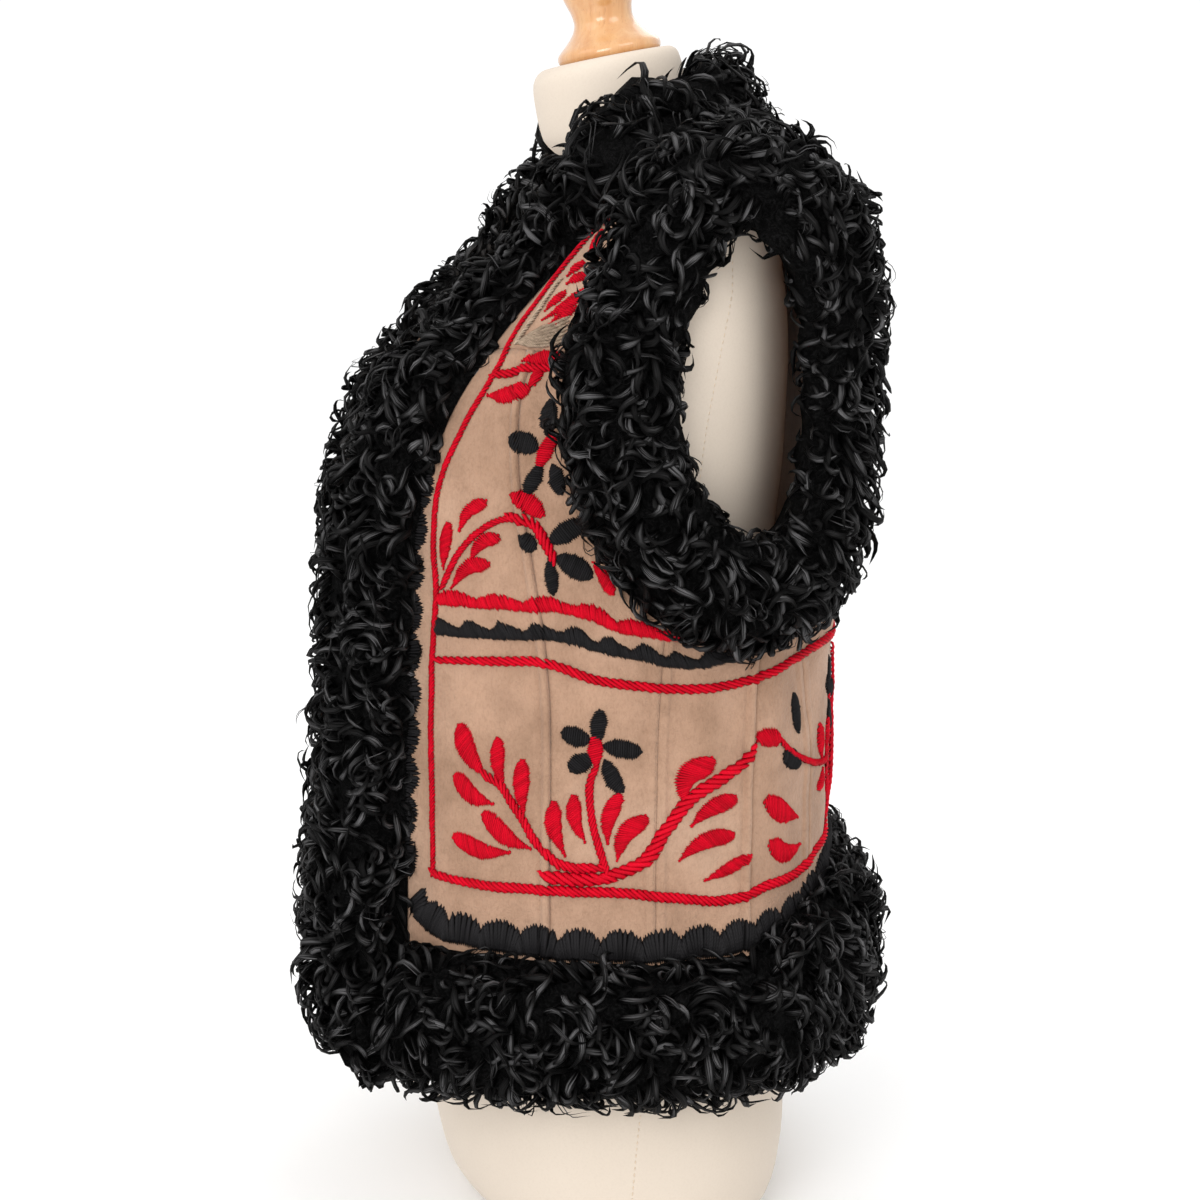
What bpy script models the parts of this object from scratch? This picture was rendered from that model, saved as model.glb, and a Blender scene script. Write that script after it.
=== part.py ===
"""Embroidered sleeveless suede vest with curly fur trim, open in front, on a limbless dress form.

Metres, +Z up. The wearer faces -Y and their left side is +X. The origin is the middle of the
form's flat underside. The vest is one surface, given by horizontal rings: each ring runs from
the middle of the back, past the side line, to the open front edge. A place on it has a height z
and a girth g, measured round the ring from the side line: g is positive toward the front.
"""
import math
from collections import namedtuple

import bmesh
import bpy
import numpy as np

COLLECTION_NAME = "embroidered_folk_vest"

# Cloth and seams
WALL = 0.003
SEAM_GAP = 0.0004
FUR_EDGE_GAP = 0.003

# Heights on the vest
HEM_Z = 0.145
YOKE_SEAM_Z = 0.573
NECK_SIDE_Z = 0.690
BACK_NECK_Z = 0.700
BACK_RISE_START_Z = 0.60

# Seam lines, as girths from the side line
SIDE_SEAM_G = -0.002
LAPPED_SEAM_G = -0.064
BACK_PRINCESS_LOW_G = -0.122
BACK_PRINCESS_HIGH_G = -0.076
FRONT_PRINCESS_LOW_G = 0.062
FRONT_PRINCESS_HIGH_G = 0.112

# Armhole: an egg in girth and height, leaning with the shoulder
ARMHOLE_G = -0.026
ARMHOLE_Z = 0.5495
ARMHOLE_HALF_WIDTH = 0.056
ARMHOLE_HALF_HEIGHT = 0.1025
ARMHOLE_LEAN = 0.25

FRONT_FLARE_LOW_Z = 0.20
FRONT_FLARE_TOP_Z = 0.32
CORNER_RADIUS = 0.030
FRONT_CORNER_SHARE = 0.88
LEVEL_TOP_Z = 0.30
HEM_SIDE_LENGTH = 0.225
HEM_BACK_LENGTH = 0.165
ARMHOLE_LENGTH = 0.56
FUR_CORNER_RADIUS = 0.050

RING_SAMPLES = 90
ROW_STEP = 0.034
DIFFERENCE_STEP = 0.004
TANGENT_STEP = 0.012
WALK_STEP = 0.008

# Extra rows where a panel bends most
FRONT_BEND_ROWS = (0.50, 0.53)
YOKE_BEND_ROWS = (0.60, 0.625, 0.64)
BACK_BEND_ROWS = (0.62, 0.64)
SHOULDER_ROWS = [0.6545, 0.660, 0.668, 0.677]
YOKE_TOP_Z = 0.687

VestRing = namedtuple("VestRing", "z half_width side_y back_y front_x front_y back_square front_curve")
VEST_RINGS = [
    VestRing(0.110, 0.188, 0.000, 0.143, 0.097, -0.180, 0.88, 2.0),
    VestRing(0.145, 0.187, 0.000, 0.142, 0.095, -0.179, 0.88, 2.0),
    VestRing(0.235, 0.184, 0.000, 0.141, 0.092, -0.177, 0.86, 2.0),
    VestRing(0.330, 0.178, 0.002, 0.141, 0.090, -0.174, 0.84, 2.0),
    VestRing(0.400, 0.175, 0.006, 0.140, 0.088, -0.172, 0.80, 2.0),
    VestRing(0.470, 0.176, 0.014, 0.137, 0.086, -0.166, 0.74, 2.1),
    VestRing(0.530, 0.181, 0.025, 0.131, 0.083, -0.146, 0.70, 2.2),
    VestRing(0.580, 0.185, 0.037, 0.124, 0.080, -0.111, 0.68, 2.2),
    VestRing(0.620, 0.188, 0.048, 0.116, 0.078, -0.071, 0.70, 2.2),
    VestRing(0.640, 0.187, 0.052, 0.112, 0.077, -0.048, 0.74, 2.2),
    VestRing(0.652, 0.180, 0.052, 0.109, 0.077, -0.034, 0.80, 2.2),
    VestRing(0.660, 0.165, 0.050, 0.106, 0.076, -0.024, 0.84, 2.1),
    VestRing(0.670, 0.138, 0.044, 0.100, 0.076, -0.011, 0.90, 2.0),
    VestRing(0.680, 0.108, 0.034, 0.090, 0.075, 0.002, 0.95, 2.0),
    VestRing(0.690, 0.079, 0.025, 0.078, 0.074, 0.012, 1.00, 2.0),
    VestRing(0.702, 0.064, 0.016, 0.068, 0.060, 0.006, 1.00, 2.0),
    VestRing(0.714, 0.058, 0.010, 0.062, 0.054, 0.000, 1.00, 2.0),
]

FormRing = namedtuple("FormRing", "z half_width front_y back_y square")
FORM_RINGS = [
    FormRing(0.000, 0.128, -0.078, 0.082, 0.94),
    FormRing(0.004, 0.146, -0.094, 0.097, 0.92),
    FormRing(0.014, 0.160, -0.106, 0.108, 0.90),
    FormRing(0.030, 0.168, -0.116, 0.112, 0.90),
    FormRing(0.060, 0.172, -0.121, 0.115, 0.90),
    FormRing(0.120, 0.172, -0.122, 0.115, 0.90),
    FormRing(0.190, 0.165, -0.114, 0.113, 0.92),
    FormRing(0.260, 0.150, -0.106, 0.103, 0.94),
    FormRing(0.330, 0.140, -0.101, 0.096, 0.96),
    FormRing(0.400, 0.146, -0.107, 0.099, 0.96),
    FormRing(0.460, 0.156, -0.114, 0.106, 0.92),
    FormRing(0.510, 0.163, -0.110, 0.110, 0.90),
    FormRing(0.560, 0.167, -0.090, 0.111, 0.90),
    FormRing(0.600, 0.169, -0.062, 0.108, 0.90),
    FormRing(0.630, 0.167, -0.036, 0.103, 0.90),
    FormRing(0.648, 0.164, -0.020, 0.103, 0.90),
    FormRing(0.660, 0.149, -0.008, 0.099, 0.92),
    FormRing(0.671, 0.120, -0.002, 0.092, 0.94),
    FormRing(0.680, 0.086, -0.012, 0.081, 0.96),
    FormRing(0.690, 0.060, -0.036, 0.066, 1.00),
    FormRing(0.699, 0.056, -0.044, 0.058, 1.00),
    FormRing(0.718, 0.0525, -0.048, 0.052, 1.00),
    FormRing(0.740, 0.0515, -0.050, 0.046, 1.00),
    FormRing(0.750, 0.0490, -0.047, 0.042, 1.00),
]
FORM_SIDES = 40
NECK_TILT = math.radians(11.0)
NECK_TILT_START_Z = 0.699

# Finial: radius at each height above its foot
FinialRing = namedtuple("FinialRing", "height radius")
FINIAL_RINGS = [
    FinialRing(0.000, 0.0325),
    FinialRing(0.003, 0.0335),
    FinialRing(0.007, 0.0320),
    FinialRing(0.012, 0.0265),
    FinialRing(0.018, 0.0210),
    FinialRing(0.024, 0.0190),
    FinialRing(0.030, 0.0198),
    FinialRing(0.037, 0.0222),
    FinialRing(0.046, 0.0240),
    FinialRing(0.057, 0.0245),
    FinialRing(0.068, 0.0225),
    FinialRing(0.077, 0.0180),
    FinialRing(0.084, 0.0110),
    FinialRing(0.088, 0.0030),
]
FINIAL_SIDES = 24
FINIAL_GAP = 0.0004

# Fur trims: how far each reaches over the suede, past its edge, and out from it
Trim = namedtuple("Trim", "over_suede past_edge rise lift lump spacing")
FRONT_TRIM = Trim(0.048, 0.022, 0.024, 0.0008, 0.0030, 0.0155)
FRONT_LOW_TRIM = Trim(0.048, 0.032, 0.033, 0.0008, 0.0030, 0.0155)
NECK_TRIM = Trim(0.034, 0.046, 0.024, 0.0026, 0.0025, 0.0150)
HEM_TRIM = Trim(0.064, 0.027, 0.034, 0.0008, 0.0030, 0.0170)
ARMHOLE_TRIM = Trim(0.056, 0.016, 0.034, 0.0018, 0.0030, 0.0155)
ARMHOLE_TOP_TRIM = Trim(0.056, 0.016, 0.052, 0.0018, 0.0030, 0.0155)
ARMHOLE_TOP_TURN = math.radians(118.0)
ARMHOLE_TOP_SPREAD = math.radians(75.0)
TRIM_BUTT_GAP = 0.0012

# Unevenness of the curls: waves along a trim and round its section
LUMP_TURNS_PER_METRE = 31.0
LUMP_SECTION_PHASE = 1.9
SECOND_WAVE_SHARE = 0.7
SECOND_WAVE_RATE = 1.73
SECOND_WAVE_PHASE = 2.6
LUMP_SCALE = 0.6

# Run of the front and neck trim: up the front edge, then round the back of the neck
FRONT_BOTTOM_Z = HEM_Z - FRONT_TRIM.past_edge
FRONT_LENGTH = 0.66
FRONT_EDGE_SLOWING = 0.10
NECK_LENGTH = 0.14
TRIM_JOIN_RUN = FRONT_LENGTH - 0.030
NECK_BLEND_RUN = 0.06
STAND_START_RUN = FRONT_LENGTH - 0.16
STAND_END_RUN = FRONT_LENGTH + 0.02
STAND_LEAN = 0.85
HEM_SPLIT_G = -0.090
EDGE_COVER_DEPTH = 0.8 * WALL

# D-shaped section of a trim: across from the edge (+1 over the suede, -1 past the edge), rise, lump share
SectionPoint = namedtuple("SectionPoint", "across rise lump")
TRIM_SECTION = [
    SectionPoint(0.97, 0.0, 0.0),
    SectionPoint(1.00, 0.30, 0.4),
    SectionPoint(0.84, 0.76, 0.9),
    SectionPoint(0.50, 1.00, 1.0),
    SectionPoint(0.12, 0.98, 1.0),
    SectionPoint(-0.55, 0.80, 1.0),
    SectionPoint(-1.00, 0.34, 0.7),
    SectionPoint(-0.88, -0.12, 0.3),
]

# Points of the trim's flat backing, across the suede from the edge
TRIM_BACKING = [0.17, 0.34, 0.50, 0.66, 0.82]

SUEDE_COLOUR = (0.54, 0.36, 0.24, 1.0)
FUR_COLOUR = (0.010, 0.010, 0.011, 1.0)
JERSEY_COLOUR = (0.84, 0.76, 0.67, 1.0)
WOOD_COLOUR = (0.72, 0.36, 0.13, 1.0)


def remove_all_objects():
    for old in list(bpy.data.objects):
        bpy.data.objects.remove(old, do_unlink=True)


def make_material(name, colour, roughness):
    material = bpy.data.materials.new(name)
    material.use_nodes = True
    shader = material.node_tree.nodes["Principled BSDF"]
    shader.inputs["Base Color"].default_value = colour
    shader.inputs["Roughness"].default_value = roughness
    shader.inputs["Metallic"].default_value = 0.0
    return material


def make_collection():
    collection = bpy.data.collections.new(COLLECTION_NAME)
    bpy.context.scene.collection.children.link(collection)
    return collection


def make_object(name, points, faces, material, collection):
    """A closed mesh from points and faces, with its faces turned outward."""
    mesh = bpy.data.meshes.new(name)
    mesh.from_pydata([tuple(point) for point in points], [], faces)
    work = bmesh.new()
    work.from_mesh(mesh)
    bmesh.ops.recalc_face_normals(work, faces=work.faces)
    work.to_mesh(mesh)
    work.free()
    mesh.materials.append(material)
    mesh.shade_smooth()
    mesh.set_sharp_from_angle(angle=math.radians(50.0))
    thing = bpy.data.objects.new(name, mesh)
    collection.objects.link(thing)
    return thing


# ---------------------------------------------------------------- smooth reading of the ring tables

def limited_slopes(heights, values):
    """Slopes for a cubic through the values that never overshoots them."""
    steps = np.diff(heights)[:, None]
    rises = np.diff(values, axis=0) / steps
    slopes = np.zeros_like(values)
    slopes[0] = rises[0]
    slopes[-1] = rises[-1]
    before = rises[:-1]
    after = rises[1:]
    same_way = before * after > 0.0
    total = np.where(same_way, before + after, 1.0)
    slopes[1:-1] = np.where(same_way, 2.0 * before * after / total, 0.0)
    return slopes


class RingTable:
    """Reads a table of rings at any height between its first and last."""

    def __init__(self, rings):
        table = np.array([tuple(ring) for ring in rings], dtype=float)
        self.heights = table[:, 0]
        self.values = table[:, 1:]
        self.slopes = limited_slopes(self.heights, self.values)

    def at(self, z):
        row = int(np.searchsorted(self.heights, z)) - 1
        row = min(max(row, 0), len(self.heights) - 2)
        step = self.heights[row + 1] - self.heights[row]
        t = min(max((z - self.heights[row]) / step, 0.0), 1.0)
        start = (1.0 + 2.0 * t) * (1.0 - t) ** 2 * self.values[row]
        end = t * t * (3.0 - 2.0 * t) * self.values[row + 1]
        leave = t * (1.0 - t) ** 2 * step * self.slopes[row]
        arrive = t * t * (t - 1.0) * step * self.slopes[row + 1]
        return start + end + leave + arrive


VEST_TABLE = RingTable(VEST_RINGS)
FORM_TABLE = RingTable(FORM_RINGS)


class VestRingLine:
    """Half a vest ring as a fine line, read by girth from the side line."""

    def __init__(self, z):
        half_width, side_y, back_y, front_x, front_y, back_square, front_curve = VEST_TABLE.at(z)
        turn = np.linspace(0.0, 0.5 * math.pi, RING_SAMPLES)
        back_x = half_width * np.sin(turn) ** back_square
        back_line_y = side_y + (back_y - side_y) * np.cos(turn) ** back_square
        back_line_y[-1] = side_y
        share = np.linspace(0.0, 1.0, RING_SAMPLES)[1:]
        front_line_x = half_width - (half_width - front_x) * share ** front_curve
        front_line_y = side_y + (front_y - side_y) * share
        self.x = np.concatenate([back_x, front_line_x])
        self.y = np.concatenate([back_line_y, front_line_y])
        lengths = np.hypot(np.diff(self.x), np.diff(self.y))
        run = np.concatenate([[0.0], np.cumsum(lengths)])
        self.girths = run - run[RING_SAMPLES - 1]
        self.back_end = self.girths[0]
        self.front_end = self.girths[-1]

    def at(self, girth):
        return np.interp(girth, self.girths, self.x), np.interp(girth, self.girths, self.y)


RING_LINES = {}


def ring_line(z):
    key = round(z, 6)
    if key not in RING_LINES:
        RING_LINES[key] = VestRingLine(key)
    return RING_LINES[key]


def vest_point(side, g, z):
    x, y = ring_line(z).at(g)
    return np.array([side * x, y, z])


def unit(vector):
    return vector / np.linalg.norm(vector)


def vest_normal(side, g, z):
    """Outward direction of the vest's surface."""
    ring = ring_line(z)
    g_low = max(g - DIFFERENCE_STEP, ring.back_end)
    g_high = min(g + DIFFERENCE_STEP, ring.front_end)
    along = vest_point(side, g_high, z) - vest_point(side, g_low, z)
    up_ring = ring_line(z + DIFFERENCE_STEP)
    down_ring = ring_line(z - DIFFERENCE_STEP)
    up_g = matching_girth(g, ring, up_ring)
    down_g = matching_girth(g, ring, down_ring)
    rising = vest_point(side, up_g, z + DIFFERENCE_STEP) - vest_point(side, down_g, z - DIFFERENCE_STEP)
    if g - DIFFERENCE_STEP < ring.back_end:
        along = np.array([side, 0.0, 0.0])
        rising[0] = 0.0
    return unit(np.cross(rising, along) * side)


def matching_girth(g, ring, other):
    """The girth on another ring that keeps the same share of its back or front."""
    if g < 0.0:
        return g * other.back_end / ring.back_end
    return g * other.front_end / ring.front_end


# ---------------------------------------------------------------- seam lines and armhole

def smooth_share(value, low, high):
    t = min(max((value - low) / (high - low), 0.0), 1.0)
    return t * t * (3.0 - 2.0 * t)


def front_princess(z):
    lean = smooth_share(z, 0.30, YOKE_SEAM_Z)
    return FRONT_PRINCESS_LOW_G + (FRONT_PRINCESS_HIGH_G - FRONT_PRINCESS_LOW_G) * lean ** 1.6


def side_seam(z):
    return SIDE_SEAM_G


def lapped_seam(z):
    return LAPPED_SEAM_G


def back_princess(z):
    lean = smooth_share(z, 0.30, 0.50)
    return BACK_PRINCESS_LOW_G + (BACK_PRINCESS_HIGH_G - BACK_PRINCESS_LOW_G) * lean


def armhole_edge(z, toward):
    """Girth of the armhole's front (+1) or back (-1) edge at a height."""
    height = (z - ARMHOLE_Z) / ARMHOLE_HALF_HEIGHT
    width = ARMHOLE_HALF_WIDTH * math.sqrt(max(1.0 - height * height, 0.0))
    return ARMHOLE_G + ARMHOLE_LEAN * (z - ARMHOLE_Z) + toward * width


def meets_armhole(line):
    """Height at which a line of girths meets the armhole's lower edge."""
    z = ARMHOLE_Z - ARMHOLE_HALF_HEIGHT
    for _ in range(40):
        width = (line(z) - ARMHOLE_G - ARMHOLE_LEAN * (z - ARMHOLE_Z)) / ARMHOLE_HALF_WIDTH
        floor = ARMHOLE_Z - ARMHOLE_HALF_HEIGHT * math.sqrt(max(1.0 - width * width, 0.0))
        z = 0.5 * (z + floor)
    return z


ARMHOLE_TOP_Z = ARMHOLE_Z + ARMHOLE_HALF_HEIGHT
SIDE_MEETS_ARMHOLE_Z = meets_armhole(side_seam)
PRINCESS_MEETS_ARMHOLE_Z = meets_armhole(back_princess)


def front_inner_edge(z):
    """Rear edge of the front pieces: side seam, then armhole, then shoulder seam."""
    if z <= SIDE_MEETS_ARMHOLE_Z:
        return side_seam(z) + SEAM_GAP / 2
    if z <= ARMHOLE_Z:
        return armhole_edge(z, 1.0)
    if z <= ARMHOLE_TOP_Z:
        return max(armhole_edge(z, 1.0), SEAM_GAP / 2)
    return SEAM_GAP / 2


def back_outer_edge(z):
    """Outer edge of the centre back: princess seam, then armhole, then shoulder seam."""
    if z <= PRINCESS_MEETS_ARMHOLE_Z:
        return back_princess(z) - SEAM_GAP / 2
    if z <= ARMHOLE_TOP_Z:
        return min(armhole_edge(z, -1.0), -SEAM_GAP / 2)
    return -SEAM_GAP / 2


def corner_cut(z, bottom, radius):
    """How far a rounded lower corner lies behind the straight front edge."""
    below = radius - (z - bottom)
    if below <= 0.0:
        return 0.0
    below = min(below, radius)
    return radius - math.sqrt(radius * radius - below * below)


def front_end(z):
    return ring_line(z).front_end - corner_cut(z, HEM_Z, CORNER_RADIUS)


def neckline_height(back_share):
    """Height of the neckline, from the side line (share 0) to the middle of the back (share 1)."""
    return NECK_SIDE_Z + (BACK_NECK_Z - NECK_SIDE_Z) * smooth_share(back_share, 0.0, 1.0)


# ---------------------------------------------------------------- suede panels

def wall_between(name, grid, material, collection):
    """A wall from a grid of (outer point, normal), open nowhere."""
    rows = len(grid)
    columns = len(grid[0])
    outer = [point for row in grid for point, _ in row]
    inner = [point - normal * WALL for row in grid for point, normal in row]
    shift = rows * columns
    faces = []
    for row in range(rows - 1):
        for column in range(columns - 1):
            a = row * columns + column
            b = a + 1
            c = b + columns
            d = a + columns
            faces.append((a, b, c, d))
            faces.append((a + shift, d + shift, c + shift, b + shift))
    rim = list(range(columns))
    rim += [row * columns + columns - 1 for row in range(1, rows)]
    rim += [(rows - 1) * columns + column for column in range(columns - 2, -1, -1)]
    rim += [row * columns for row in range(rows - 2, 0, -1)]
    for here, there in zip(rim, rim[1:] + rim[:1]):
        faces.append((here, here + shift, there + shift, there))
    return make_object(name, outer + inner, faces, material, collection)


def row_heights(low, high, stops=()):
    """Heights from low to high, with a row at each stop between them."""
    marks = [low] + [stop for stop in sorted(stops) if low + 0.001 < stop < high - 0.001] + [high]
    heights = [low]
    for start, end in zip(marks, marks[1:]):
        count = max(1, round((end - start) / ROW_STEP))
        heights += [start + (end - start) * k / count for k in range(1, count + 1)]
    return heights


def between(rear_line, fore_line, share, z):
    return rear_line(z) * (1.0 - share) + fore_line(z) * share


def make_side_panel(name, side, rear_line, fore_line, material, collection):
    """A panel that ends at the armhole's lower edge."""
    columns = 5
    rows = 10
    grid = []
    for row in range(rows):
        line = []
        for column in range(columns):
            share = column / (columns - 1)
            top = meets_armhole(lambda z: between(rear_line, fore_line, share, z))
            z = HEM_Z + (top - HEM_Z) * row / (rows - 1)
            g = between(rear_line, fore_line, share, z)
            line.append((vest_point(side, g, z), vest_normal(side, g, z)))
        grid.append(line)
    return wall_between(name, grid, material, collection)


def make_level_panel(name, side, rear_line, fore_line, heights, columns, material, collection):
    """A panel whose rows lie level, between two lines."""
    grid = []
    for z in heights:
        rear = rear_line(z)
        fore = fore_line(z)
        line = []
        for column in range(columns):
            g = rear + (fore - rear) * column / (columns - 1)
            line.append((vest_point(side, g, z), vest_normal(side, g, z)))
        grid.append(line)
    return wall_between(name, grid, material, collection)


def make_back_centre(material, collection):
    half_columns = 7
    heights = row_heights(HEM_Z, ARMHOLE_TOP_Z, (PRINCESS_MEETS_ARMHOLE_Z, ARMHOLE_Z) + BACK_BEND_ROWS)
    heights += SHOULDER_ROWS + [NECK_SIDE_Z]
    grid = []
    for z in heights:
        line = []
        for column in range(-half_columns, half_columns + 1):
            share = abs(column) / half_columns
            side = -1.0 if column < 0 else 1.0
            rise = neckline_height(1.0 - share) - NECK_SIDE_Z
            raised = z + rise * smooth_share(z, BACK_RISE_START_Z, NECK_SIDE_Z)
            back = ring_line(raised).back_end
            g = back + (back_outer_edge(z) - back) * share
            line.append((vest_point(side, g, raised), vest_normal(side, g, raised)))
        grid.append(line)
    return wall_between("back_centre", grid, material, collection)


def make_side_pieces(side, suffix, material, collection):
    half = SEAM_GAP / 2
    make_side_panel("back_side_" + suffix, side, lambda z: back_princess(z) + half,
                    lambda z: lapped_seam(z) - half, material, collection)
    make_side_panel("side_" + suffix, side, lambda z: lapped_seam(z) + half,
                    lambda z: side_seam(z) - half, material, collection)
    low_rows = row_heights(HEM_Z, YOKE_SEAM_Z - half, (SIDE_MEETS_ARMHOLE_Z,) + FRONT_BEND_ROWS)
    make_level_panel("front_side_" + suffix, side, front_inner_edge,
                     lambda z: front_princess(z) - half, low_rows, 5, material, collection)
    make_level_panel("front_centre_" + suffix, side, lambda z: front_princess(z) + half,
                     front_end, low_rows, 8, material, collection)
    yoke_rows = row_heights(YOKE_SEAM_Z + half, ARMHOLE_TOP_Z, YOKE_BEND_ROWS)
    yoke_rows += SHOULDER_ROWS + [YOKE_TOP_Z]
    make_level_panel("yoke_" + suffix, side, front_inner_edge, front_end, yoke_rows, 9,
                     material, collection)


# ---------------------------------------------------------------- fur trims

def trim_lump(run, along_section, trim):
    """Uneven swelling of the curls, the same for every build."""
    turn = 2.0 * math.pi * LUMP_TURNS_PER_METRE * run
    first = math.sin(turn + LUMP_SECTION_PHASE * along_section)
    second = math.sin(SECOND_WAVE_RATE * turn - SECOND_WAVE_PHASE * along_section)
    return trim.lump * LUMP_SCALE * (first + SECOND_WAVE_SHARE * second)


def walk(side, g, z, heading, reach):
    """Girth and height after walking over the surface for a distance, starting in a direction."""
    steps = max(1, math.ceil(reach / WALK_STEP))
    direction = np.array(heading)
    for _ in range(steps):
        here = vest_point(side, g, z)
        normal = vest_normal(side, g, z)
        direction = unit(direction - normal * np.dot(direction, normal))
        ring = ring_line(z)
        ahead = min(g + DIFFERENCE_STEP, ring.front_end)
        behind = max(g - DIFFERENCE_STEP, ring.back_end)
        along = (vest_point(side, ahead, z) - vest_point(side, behind, z)) / (ahead - behind)
        down_z = z - DIFFERENCE_STEP
        rising = (here - vest_point(side, g, down_z)) / DIFFERENCE_STEP
        aim = direction * reach / steps
        across, up = np.linalg.lstsq(np.stack([along, rising], axis=1), aim, rcond=None)[0]
        g = g + across
        z = z + up
    return g, z


def trim_section(side, edge, spot_at, inward, run, trim, stand=0.0, cut=0.0):
    """Points of a trim's section at one place along an edge.

    spot_at(reach) gives the girth and height reach metres inside the edge. stand turns the part
    past the edge upward, and cut moves the edge inside without moving the trim's inner side.
    """
    g, z = edge
    root = vest_point(side, g, z)
    normal = vest_normal(side, g, z)
    outward = unit(np.array([0.0, 0.0, stand]) - inward * (1.0 - STAND_LEAN * stand))
    rising = unit(normal - outward * np.dot(normal, outward))
    points = []
    for index, spot in enumerate(TRIM_SECTION):
        swell = trim_lump(run, index, trim) * spot.lump
        rise = spot.rise * trim.rise + swell
        if spot.across > 0.0:
            spot_g, spot_z = spot_at(cut + spot.across * (trim.over_suede - cut))
            spot_normal = vest_normal(side, spot_g, spot_z)
            points.append(vest_point(side, spot_g, spot_z) + spot_normal * max(rise, trim.lift))
        else:
            reach = -spot.across * trim.past_edge + max(swell, 0.0)
            points.append(root + outward * reach + rising * rise)
    points.append(root - inward * FUR_EDGE_GAP - normal * EDGE_COVER_DEPTH * (1.0 - stand))
    points.append(root - inward * FUR_EDGE_GAP + normal * trim.lift)
    for across in TRIM_BACKING:
        spot_g, spot_z = spot_at(cut + across * (trim.over_suede - cut))
        spot_normal = vest_normal(side, spot_g, spot_z)
        points.append(vest_point(side, spot_g, spot_z) + spot_normal * trim.lift)
    return points


def square_to_edge(side, place_at, run, turn):
    """The direction over the surface that lies square to an edge."""
    before = vest_point(side, *place_at(run - TANGENT_STEP))
    after = vest_point(side, *place_at(run + TANGENT_STEP))
    normal = vest_normal(side, *place_at(run))
    return unit(np.cross(after - before, normal)) * turn * side


def make_trim(name, sections, closed, material, collection):
    """A loft through sections, with flat ends where it isn't a ring."""
    size = len(sections[0])
    points = [point for section in sections for point in section]
    count = len(sections)
    faces = []
    for index in range(count if closed else count - 1):
        here = index * size
        there = ((index + 1) % count) * size
        for corner in range(size):
            after = (corner + 1) % size
            faces.append((here + corner, here + after, there + after, there + corner))
    if not closed:
        faces.append(tuple(range(size)))
        faces.append(tuple((count - 1) * size + corner for corner in range(size)))
    thing = make_object(name, points, faces, material, collection)
    triangulate_ends(thing)
    return thing


def triangulate_ends(thing):
    work = bmesh.new()
    work.from_mesh(thing.data)
    wide = [face for face in work.faces if len(face.verts) > 4]
    bmesh.ops.triangulate(work, faces=wide, ngon_method="EAR_CLIP")
    work.to_mesh(thing.data)
    work.free()


def share_steps(length, spacing):
    count = max(2, round(length / spacing))
    return [index / count for index in range(count + 1)]


def edge_place(run):
    """Girth and height on the front edge and back neckline, by distance from the front's bottom."""
    if run <= FRONT_LENGTH:
        z = FRONT_BOTTOM_Z + (NECK_SIDE_Z - FRONT_BOTTOM_Z) * front_height_share(run / FRONT_LENGTH)
        return ring_line(z).front_end, z
    share = (run - FRONT_LENGTH) / NECK_LENGTH
    level_ring = ring_line(NECK_SIDE_Z)
    level_g = level_ring.front_end * (1.0 - share) + level_ring.back_end * share
    z = neckline_height(level_g / level_ring.back_end)
    ring = ring_line(z)
    return ring.front_end * (1.0 - share) + ring.back_end * share, z


def front_height_share(share):
    """The front edge climbs more slowly where it slopes back to the neck."""
    return share + FRONT_EDGE_SLOWING * math.sin(math.pi * share) * share


def front_neck_section(side, run):
    g, z = edge_place(run)
    if z < FRONT_FLARE_TOP_Z:
        trim = blend_trims(FRONT_LOW_TRIM, FRONT_TRIM, smooth_share(z, FRONT_FLARE_LOW_Z, FRONT_FLARE_TOP_Z))
    else:
        trim = blend_trims(FRONT_TRIM, NECK_TRIM,
                           smooth_share(run, FRONT_LENGTH - NECK_BLEND_RUN, FRONT_LENGTH + NECK_BLEND_RUN))
    stand = smooth_share(run, STAND_START_RUN, STAND_END_RUN)
    inward = square_to_edge(side, edge_place, run, 1.0)
    cut = FRONT_CORNER_SHARE * corner_cut(z, FRONT_BOTTOM_Z, FUR_CORNER_RADIUS)
    if z < LEVEL_TOP_Z:
        return trim_section(side, (g - cut, z), lambda reach: (g - reach, z), inward, run, trim,
                            stand, cut)
    return trim_section(side, (g, z), lambda reach: walk(side, g, z, inward, reach), inward, run,
                        trim, stand)


def blend_trims(first, second, share):
    return Trim(*[a * (1.0 - share) + b * share for a, b in zip(first, second)])


def hem_section(side, share, rear, fore_line, length, trim):
    """A section of the hem's trim at a share of the way from rear to fore_line."""
    def spot_at(reach):
        z = HEM_Z + reach
        back = ring_line(z).back_end if rear is None else rear
        return back + (fore_line(z) - back) * share, z

    inward = np.array([0.0, 0.0, 1.0])
    return trim_section(side, spot_at(0.0), spot_at, inward, share * length, trim)


def beside_front_trim(z):
    return ring_line(z).front_end - FRONT_TRIM.over_suede - TRIM_BUTT_GAP


def beside_hem_split(z):
    return HEM_SPLIT_G - TRIM_BUTT_GAP


def armhole_place(run):
    turn = 2.0 * math.pi * run / ARMHOLE_LENGTH
    z = ARMHOLE_Z + ARMHOLE_HALF_HEIGHT * math.sin(turn)
    lean = ARMHOLE_LEAN * (z - ARMHOLE_Z)
    return ARMHOLE_G + lean + ARMHOLE_HALF_WIDTH * math.cos(turn), z


def make_front_fur(side, suffix, material, collection):
    runs = [TRIM_JOIN_RUN * share for share in share_steps(TRIM_JOIN_RUN, FRONT_TRIM.spacing)]
    runs[-1] -= TRIM_BUTT_GAP
    sections = [front_neck_section(side, run) for run in runs]
    make_trim("front_fur_" + suffix, sections, False, material, collection)


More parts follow.
